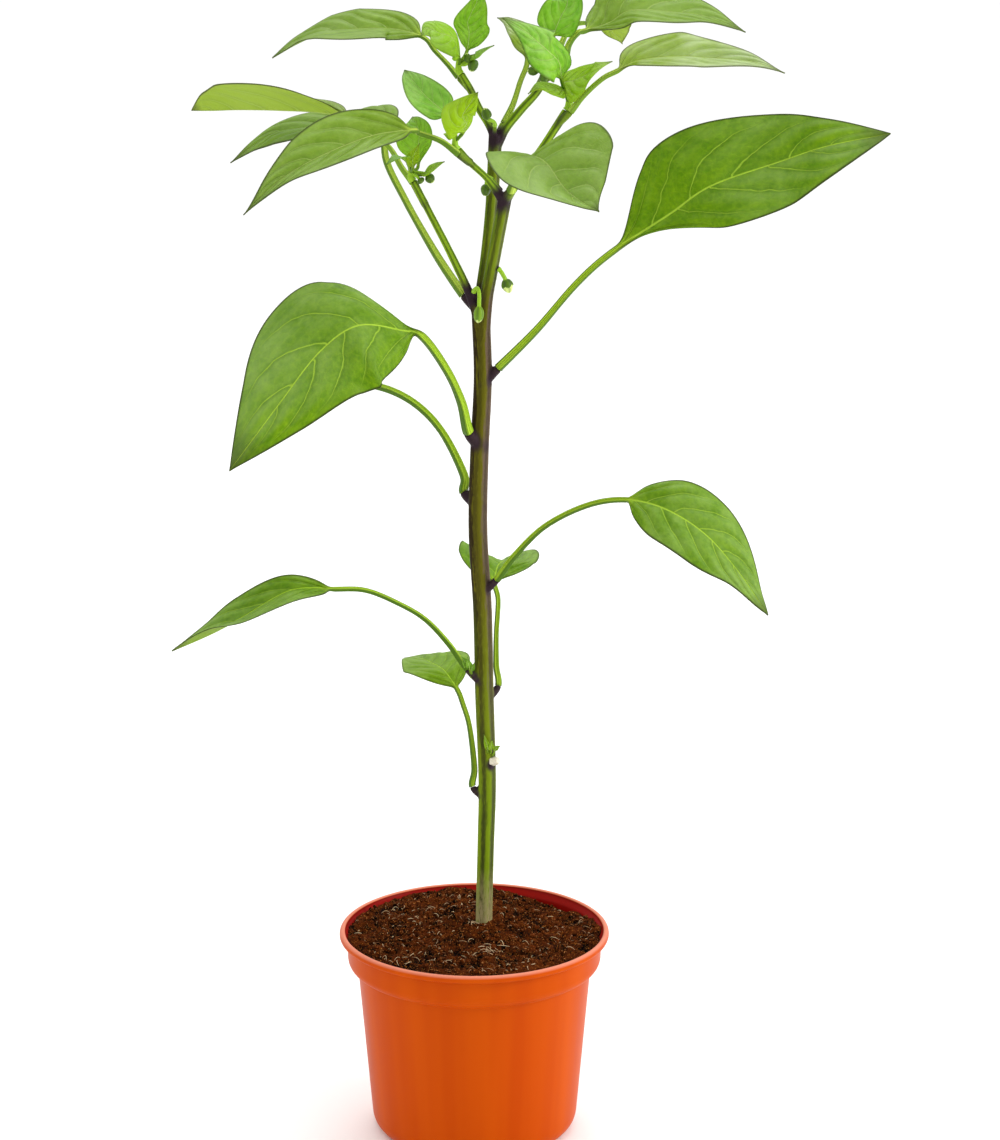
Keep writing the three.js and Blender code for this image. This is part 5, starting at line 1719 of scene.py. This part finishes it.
# Each growing tip: the limb whose end it is seated on, its young leaves and its closed buds
SHOOTS: dict[str, Shoot] = {
    "shoot_front_left": Shoot(
        branch=LIMBS["front_left"],
        leaves=(
            Leaf(stalk=((-9.5, -14, 455),),
                blade=((-13, -12.5, 459), (-19.5, -8, 464), (-25, -4, 470), (-28.5, -0.5, 474)),
                width=19.3, face=(0.38, -0.73, 0.5), tip_face=(0.47, -0.7, 0.5),
                full=0.94, skew=-0.12, lean=0.1, fold=0.32, curl=-0.06, phase=5.8),
            Leaf(stalk=((-4, -18.5, 450),),
                blade=((-2.5, -22.5, 454.5), (-4, -27.5, 458.5), (-0.5, -27.5, 464), (2.5, -29, 468.5)),
                width=19.5, face=(0.67, -0.74, 0.6), tip_face=(0.27, -0.92, 0.6),
                widest=0.48, full=1.05, taper=0.08, skew=-0.17, fold=0.04, curl=-0.33, tender=0.8,
                steady=0.55),
        ),
        buds=(Bud(places=((-4, -15, 450), (-3, -15, 452), (-3, -15, 455)), size=3),),
    ),
    "shoot_left": Shoot(
        branch=LIMBS["left"],
        leaves=(
            Leaf(stalk=((-23, -1.5, 433.5),),
                blade=((-23, 1.5, 441), (-22.5, 4, 447), (-24, 7, 451), (-25.5, 10, 453)),
                width=15.5, face=(-0.2, -0.96, 0.4), tip_face=(-0.12, -0.82, 0.4),
                full=1, taper=0.14, skew=-0.23, fold=0.3, phase=0.5, tender=0.3),
            Leaf(stalk=((-27, -9, 436),), blade=((-29, -12, 439), (-32, -16, 439), (-36, -20, 437)),
                width=8, face=(0, 0, 1)),
            Leaf(stalk=((-21.5, -7.5, 431),),
                blade=((-18.5, -9, 432.5), (-15, -10, 435), (-11.7, -11, 437.2)),
                width=8, face=(-0.4, -0.3, 0.9), tender=0.7),
            Leaf(stalk=((-25, -9, 434),), blade=((-25, -11, 438), (-24, -12, 441), (-22, -13, 445)),
                width=6, face=(0.3, -0.8, 0.5), tender=0.8),
        ),
        buds=(
            Bud(places=((-21, -6, 431.5), (-19, -6.5, 430.5), (-16.5, -7, 427.8)), size=4),
            Bud(places=((-23.5, -7.5, 430.5), (-22.3, -8.5, 429.4), (-21, -8.5, 427.8)), size=3.4),
        ),
    ),
    "shoot_top_left": Shoot(
        branch=LIMBS["back_left"],
        leaves=(
            Leaf(stalk=((-2.5, 13, 480),),
                blade=((-1.5, 15.5, 487.5), (-2, 17, 492.5), (1.5, 17, 500), (3.5, 18.5, 507)),
                width=15.5, face=(-0.19, -0.74, 0.3), tip_face=(-0.11, -0.97, 0.3),
                full=1.19, taper=0.05, skew=0.2, fold=0.14, curl=-0.07, wave=0.6, tender=0.2,
                steady=0.8),
            Leaf(stalk=((-5.5, 8, 477.5),),
                blade=((-8, 6.5, 486), (-14, -2, 489.5), (-18.5, -3, 491.5), (-21.5, -7, 489)),
                width=18.5, face=(0.53, -0.54, 0.7), tip_face=(0.46, -0.58, 0.7),
                widest=0.65, full=1.14, taper=0.05, skew=-0.13, fold=0.02, curl=-0.13, phase=4.5,
                tender=0.5, steady=0.6),
            Leaf(stalk=((-1, 9, 478.5),), blade=((1, 7.5, 479), (4, 7.5, 481), (9, 6.5, 483.5)),
                width=6, face=(-0.36, -0.3, 0.8), fold=0.14, curl=-0.17, tender=0.3),
        ),
        buds=(
            Bud(places=((-1, 9, 476.5), (0.3, 8.5, 476.8), (-0.6, 8, 472.2)), size=4.3),
            Bud(places=((-3, 9, 475), (-2, 7.5, 476.5), (-2.6, 7, 480.2)), size=3),
        ),
    ),
    "shoot_top_back": Shoot(
        branch=LIMBS["back_right"],
        leaves=(
            Leaf(stalk=((34, 24, 485),),
                blade=((37, 24, 493), (40, 26, 499), (38.5, 30, 505), (41.5, 32, 512.2)),
                width=18, face=(-0.1, -0.89, 0.3), tip_face=(-0.15, -0.9, 0.3),
                widest=0.46, full=1.04, taper=0.05, fold=0.34, curl=-0.03, wave=0.5, phase=5.7),
            Leaf(stalk=((31, 18, 484),), blade=((28, 15, 486), (24, 13, 487), (20, 12, 486)),
                width=8, face=(-0.2, -0.3, 0.9)),
        ),
        buds=(
            Bud(places=((30, 19, 477), (27, 18.5, 472), (22.9, 18, 471.2)), size=3.9),
            Bud(places=((33, 17.5, 476.5), (31, 15.5, 471.5), (29.1, 14.8, 466.5)), size=3.8),
        ),
    ),
    "shoot_right": Shoot(
        branch=LIMBS["front_right"],
        leaves=(
            Leaf(stalk=((37, -7.5, 470.5),),
                blade=((36, -10.5, 478), (31.5, -17, 483.5), (27, -17.5, 487.5),
                    (21, -18, 492.5), (12.5, -17.5, 497.5)),
                width=23.5, face=(0.64, -0.86, 0.6), tip_face=(0.35, -0.65, 0.6),
                full=1.12, taper=0.05, fold=0.08, curl=-0.17, wave=0.5),
            Leaf(stalk=((37.5, -2, 468),),
                blade=((42.5, -3, 470), (48.5, -8, 473.5), (51, -13, 477), (58, -12, 479)),
                width=19.5, face=(-0.55, -0.5, 0.6), tip_face=(-0.52, -0.24, 0.6),
                widest=0.5, full=1, taper=0.06, skew=0.3, fold=0.06, curl=-0.05, tender=0.7,
                steady=0.5),
            Leaf(stalk=((39.5, -5, 465.5),),
                blade=((35.5, -7.5, 466.5), (31, -11.5, 468), (27, -15, 469), (23, -16, 466)),
                width=10.5, face=(0.25, -0.53, 0.9), tip_face=(0.18, -0.43, 0.9),
                widest=0.62, full=1.25, skew=-0.11, fold=0.13, curl=-0.14, tender=0.75,
                steady=0.6),
        ),
        buds=(Bud(places=((43.5, -2, 466), (44.2, -2.4, 467), (44.2, -2.4, 465)), size=3.5),),
    ),
}

BUDS: dict[str, Bud] = {
    "bud_front": Bud(
        places=((2, 0, 376), (0.4, -3.4, 380.5), (1.7, -6, 382.7), (2.6, -8, 381),
            (2.6, -8, 375.4), (2.1, -8, 368.1)),
        size=4.2, start=0.74, teeth=0.84, green=0.6,
    ),
    "bud_right": Bud(
        places=((7.4, -4, 391.5), (10.7, -5.6, 390.8), (12, -6, 389.5), (13, -6, 387.8),
            (13.8, -6, 386), (15.5, -5, 380.4)),
        size=4.6, start=0.7, teeth=0.55,
    ),
    "bud_middle": Bud(
        places=((12, -6, 424), (8.3, -3, 428), (7, -2, 429), (6, -2, 427.8),
            (5.7, -2, 426), (5.1, -2, 421.2)),
        size=4.2, start=0.72,
    ),
    "bud_top": Bud(
        places=((9, 12, 444), (9.3, 8, 449.4), (8.9, 6, 451.3), (7.4, 4.5, 452.4),
            (6.4, 4, 453.1), (4.9, 4, 457.5)),
        size=4, start=0.7,
    ),
}


# ---- Small things on the stem ------------------------------------------------------------------


@dataclass(frozen=True)
class StemMarks:
    """What grows or scars on the trunk: a sprout above a cut leaf scar, and a side shoot's tip."""

    sprout: tuple[Leaf, ...] = (
        Leaf(((6, 3, 172.5), (6, 0.5, 175.5)),
             ((6, -0.6, 177.5), (5.2, -1, 180.5), (4.4, -1, 183.5)), 2.6, (0, -1, 0.3)),
        Leaf(((7, 3, 172.5), (7.5, 0.5, 175.5)),
             ((7.5, -0.6, 177), (7.7, -1, 179), (8, -1.2, 181)), 2.4, (0.3, -1, 0.3)),
        Leaf(((8, 3, 172.5), (9, 0.8, 175)),
             ((9.5, 0, 176.5), (10.5, -0.4, 177.5), (11.5, -0.6, 178)), 2.2, (0.2, -1, 0.5)),
    )
    tip: tuple[Leaf, ...] = (
        Leaf(((-1, 1, 209), (-2.5, -0.5, 213)),
             ((-3, -1, 215), (-4.4, -1.4, 217.5), (-6, -1.6, 219.5)), 3.4, (0.5, -1, 0.4)),
        Leaf(((-1, 0.5, 209), (-1.8, -1.2, 213)),
             ((-2, -1.6, 215), (-2.6, -1.8, 217), (-2.8, -1.8, 219)), 3.0, (0.2, -1, 0.3)),
        Leaf(((-1, 1, 209), (-1, -1, 212)),
             ((-0.8, -1.4, 213.5), (-0.2, -1.8, 215), (0.2, -2, 216.5)), 2.4, (-0.3, -1, 0.3)),
    )
    scar: Places = ((8, 2.5, 170), (9.5, 1.2, 170.5), (10.6, 0.4, 170.9))

    def build(self, young: bpy.types.Material) -> None:
        """Builds the sprout, the side shoot's tip and the pale cut.

        Args:
            young: The young leaves' material.
        """
        small = {"radius": 0.5, "wave": 0.1, "seated": False, "thick": 0.25, "quilt": 0.1,
                 "rings": 16, "cells": 12}
        for name, leaves, tender in (("scar_sprout", self.sprout, 0.6), ("side_shoot_tip", self.tip, 0.0)):
            grown = [replace(one, tender=tender, **small).surface() for one in leaves]
            dress(Surface.joined(grown).mesh(name), young)
        cut = Limb(self.scar, (1.9, 1.7, 1.3), depth=0.12).surface(12, 24)
        dress(cut.mesh("leaf_scar_cut"), CutFinish().material())


# ---- Studio ------------------------------------------------------------------------------------


@dataclass(frozen=True)
class PaperFinish:
    """Matt white paper: no shine, and a faint tooth."""

    name: str = "matt_white_paper"
    white: str = "#FBFBFA"

    def material(self) -> bpy.types.Material:
        """Builds it, with a tooth of 1.4 mm, which is coarser than real paper's.

        Returns:
            The material.
        """
        m = Recipe(self.name)
        place = m.add("TexCoord").outputs["Object"]
        tooth = m.add("TexNoise", Vector=place, Scale=1 / (1.4286 * MM))
        bump = m.add("Bump", Height=tooth, Distance=0.05 * MM, Strength=0.3)
        paper = m.add("BsdfPrincipled", self.white, Roughness=0.9, Normal=bump)
        m.add("OutputMaterial", paper)
        return m.owner


@dataclass(frozen=True)
class Softbox:
    """A square soft light, in metres and watts, that faces a place."""

    name: str
    at: Place
    facing: Place
    side: float
    watts: float
    tint: str = "#FFFFFF"

    def build(self) -> None:
        """Hangs the light."""
        lamp = bpy.data.lights.new(self.name, "AREA")
        lamp.shape, lamp.size, lamp.energy = "SQUARE", self.side, self.watts
        lamp.color = linear(self.tint)[:3]
        holder = bpy.data.objects.new(self.name, lamp)
        holder.location = self.at
        way = Vector(self.facing) - Vector(self.at)
        holder.rotation_euler = way.to_track_quat("-Z", "Y").to_euler()
        bpy.context.scene.collection.objects.link(holder)


@dataclass(frozen=True)
class Studio:
    """A flat square of white paper under soft light, and the camera at the photograph's angle."""

    camera_at: Place = (0.01144, -1.5, 0.6583)  # metres
    pitch: float = 14.949  # degrees down
    lens: float = 113.193
    sensor: float = 36.0
    horizon: float = 0.45  # strength of the room's light from its sides
    zenith: float = 1.4  # and from above
    floor_reach: float = 12.0  # metres to each side
    paper: PaperFinish = PaperFinish()
    softboxes: tuple[Softbox, ...] = (
        Softbox("key_right", (1.38, -0.25, 0.75), (0, 0, 0.2), 0.6, 12.0),
        Softbox("fill_left", (-1.4, -0.6, 0.9), (0, 0, 0.2), 0.8, 2.5),
        Softbox("top_back", (0.1, 1.0, 1.7), (0, 0, 0.35), 1.0, 9.0),
    )

    def build(self) -> None:
        """Builds the floor, the room's light, the softboxes and the camera."""
        bpy.context.scene.view_settings.view_transform = "Standard"
        self.lay_floor()
        self.light_room()
        for box in self.softboxes:
            box.build()
        self.set_camera()

    def lay_floor(self) -> None:
        """Lays a square of paper under the pot."""
        r = self.floor_reach / MM
        corners = np.array([[-r, -r, 0], [r, -r, 0], [r, r, 0], [-r, r, 0]])
        floor = Surface(corners, np.array([[0, 1, 2, 3]])).mesh("floor")
        floor.materials.append(self.paper.material())
        sweep = bpy.data.objects.new("floor", floor)
        bpy.context.scene.collection.objects.link(sweep)

    def light_room(self) -> None:
        """Lights the room evenly white, more from above than from the sides."""
        room = Recipe("soft_white_room", bpy.data.worlds)
        upward = room.add("SeparateXYZ", room.add("TexCoord").outputs["Generated"]).outputs[2]
        strength = room.add("MapRange", upward, 0.0, 1.0, self.horizon, self.zenith)
        room.add("OutputWorld", room.add("Background", "#FFFFFF", strength))
        bpy.context.scene.world = room.owner

    def set_camera(self) -> None:
        """Sets the camera up where the photograph was taken from."""
        scene = bpy.context.scene
        lens = bpy.data.cameras.new("camera")
        lens.lens, lens.sensor_width, lens.sensor_fit = self.lens, self.sensor, "AUTO"
        camera = bpy.data.objects.new("camera", lens)
        camera.location = self.camera_at
        camera.rotation_euler = (math.radians(90 - self.pitch), 0, 0)
        scene.collection.objects.link(camera)
        scene.camera = camera


def main() -> None:
    """Builds the plant in order, then the studio."""
    logging.basicConfig(level=logging.INFO, format="%(message)s")
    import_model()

    pot = Pot()
    pot.build()
    Soil(pot).build()
    feet = [cushion(leaf.stalk + leaf.blade, leaf.radius) for leaf in LEAVES.values()]
    feet += [cushion(bud.places, bud.size * bud.foot) for bud in BUDS.values()]
    Stem(LIMBS, tuple(feet)).build()
    leaf_materials = {kind: kind.value.material() for kind in LeafKind}
    bud_material = BudFinish().material()
    for name, leaf in LEAVES.items():
        dress(leaf.surface().mesh(name + "_blade"), leaf_materials[leaf.kind], (name,))
    for name, shoot in SHOOTS.items():
        shoot.build(name, leaf_materials[LeafKind.YOUNG], bud_material)
    for name, bud in BUDS.items():
        dress(bud.surface().mesh(name + "_flower"), bud_material, (name,))
    StemMarks().build(leaf_materials[LeafKind.YOUNG])
    Studio().build()


if __name__ == "__main__":
    main()
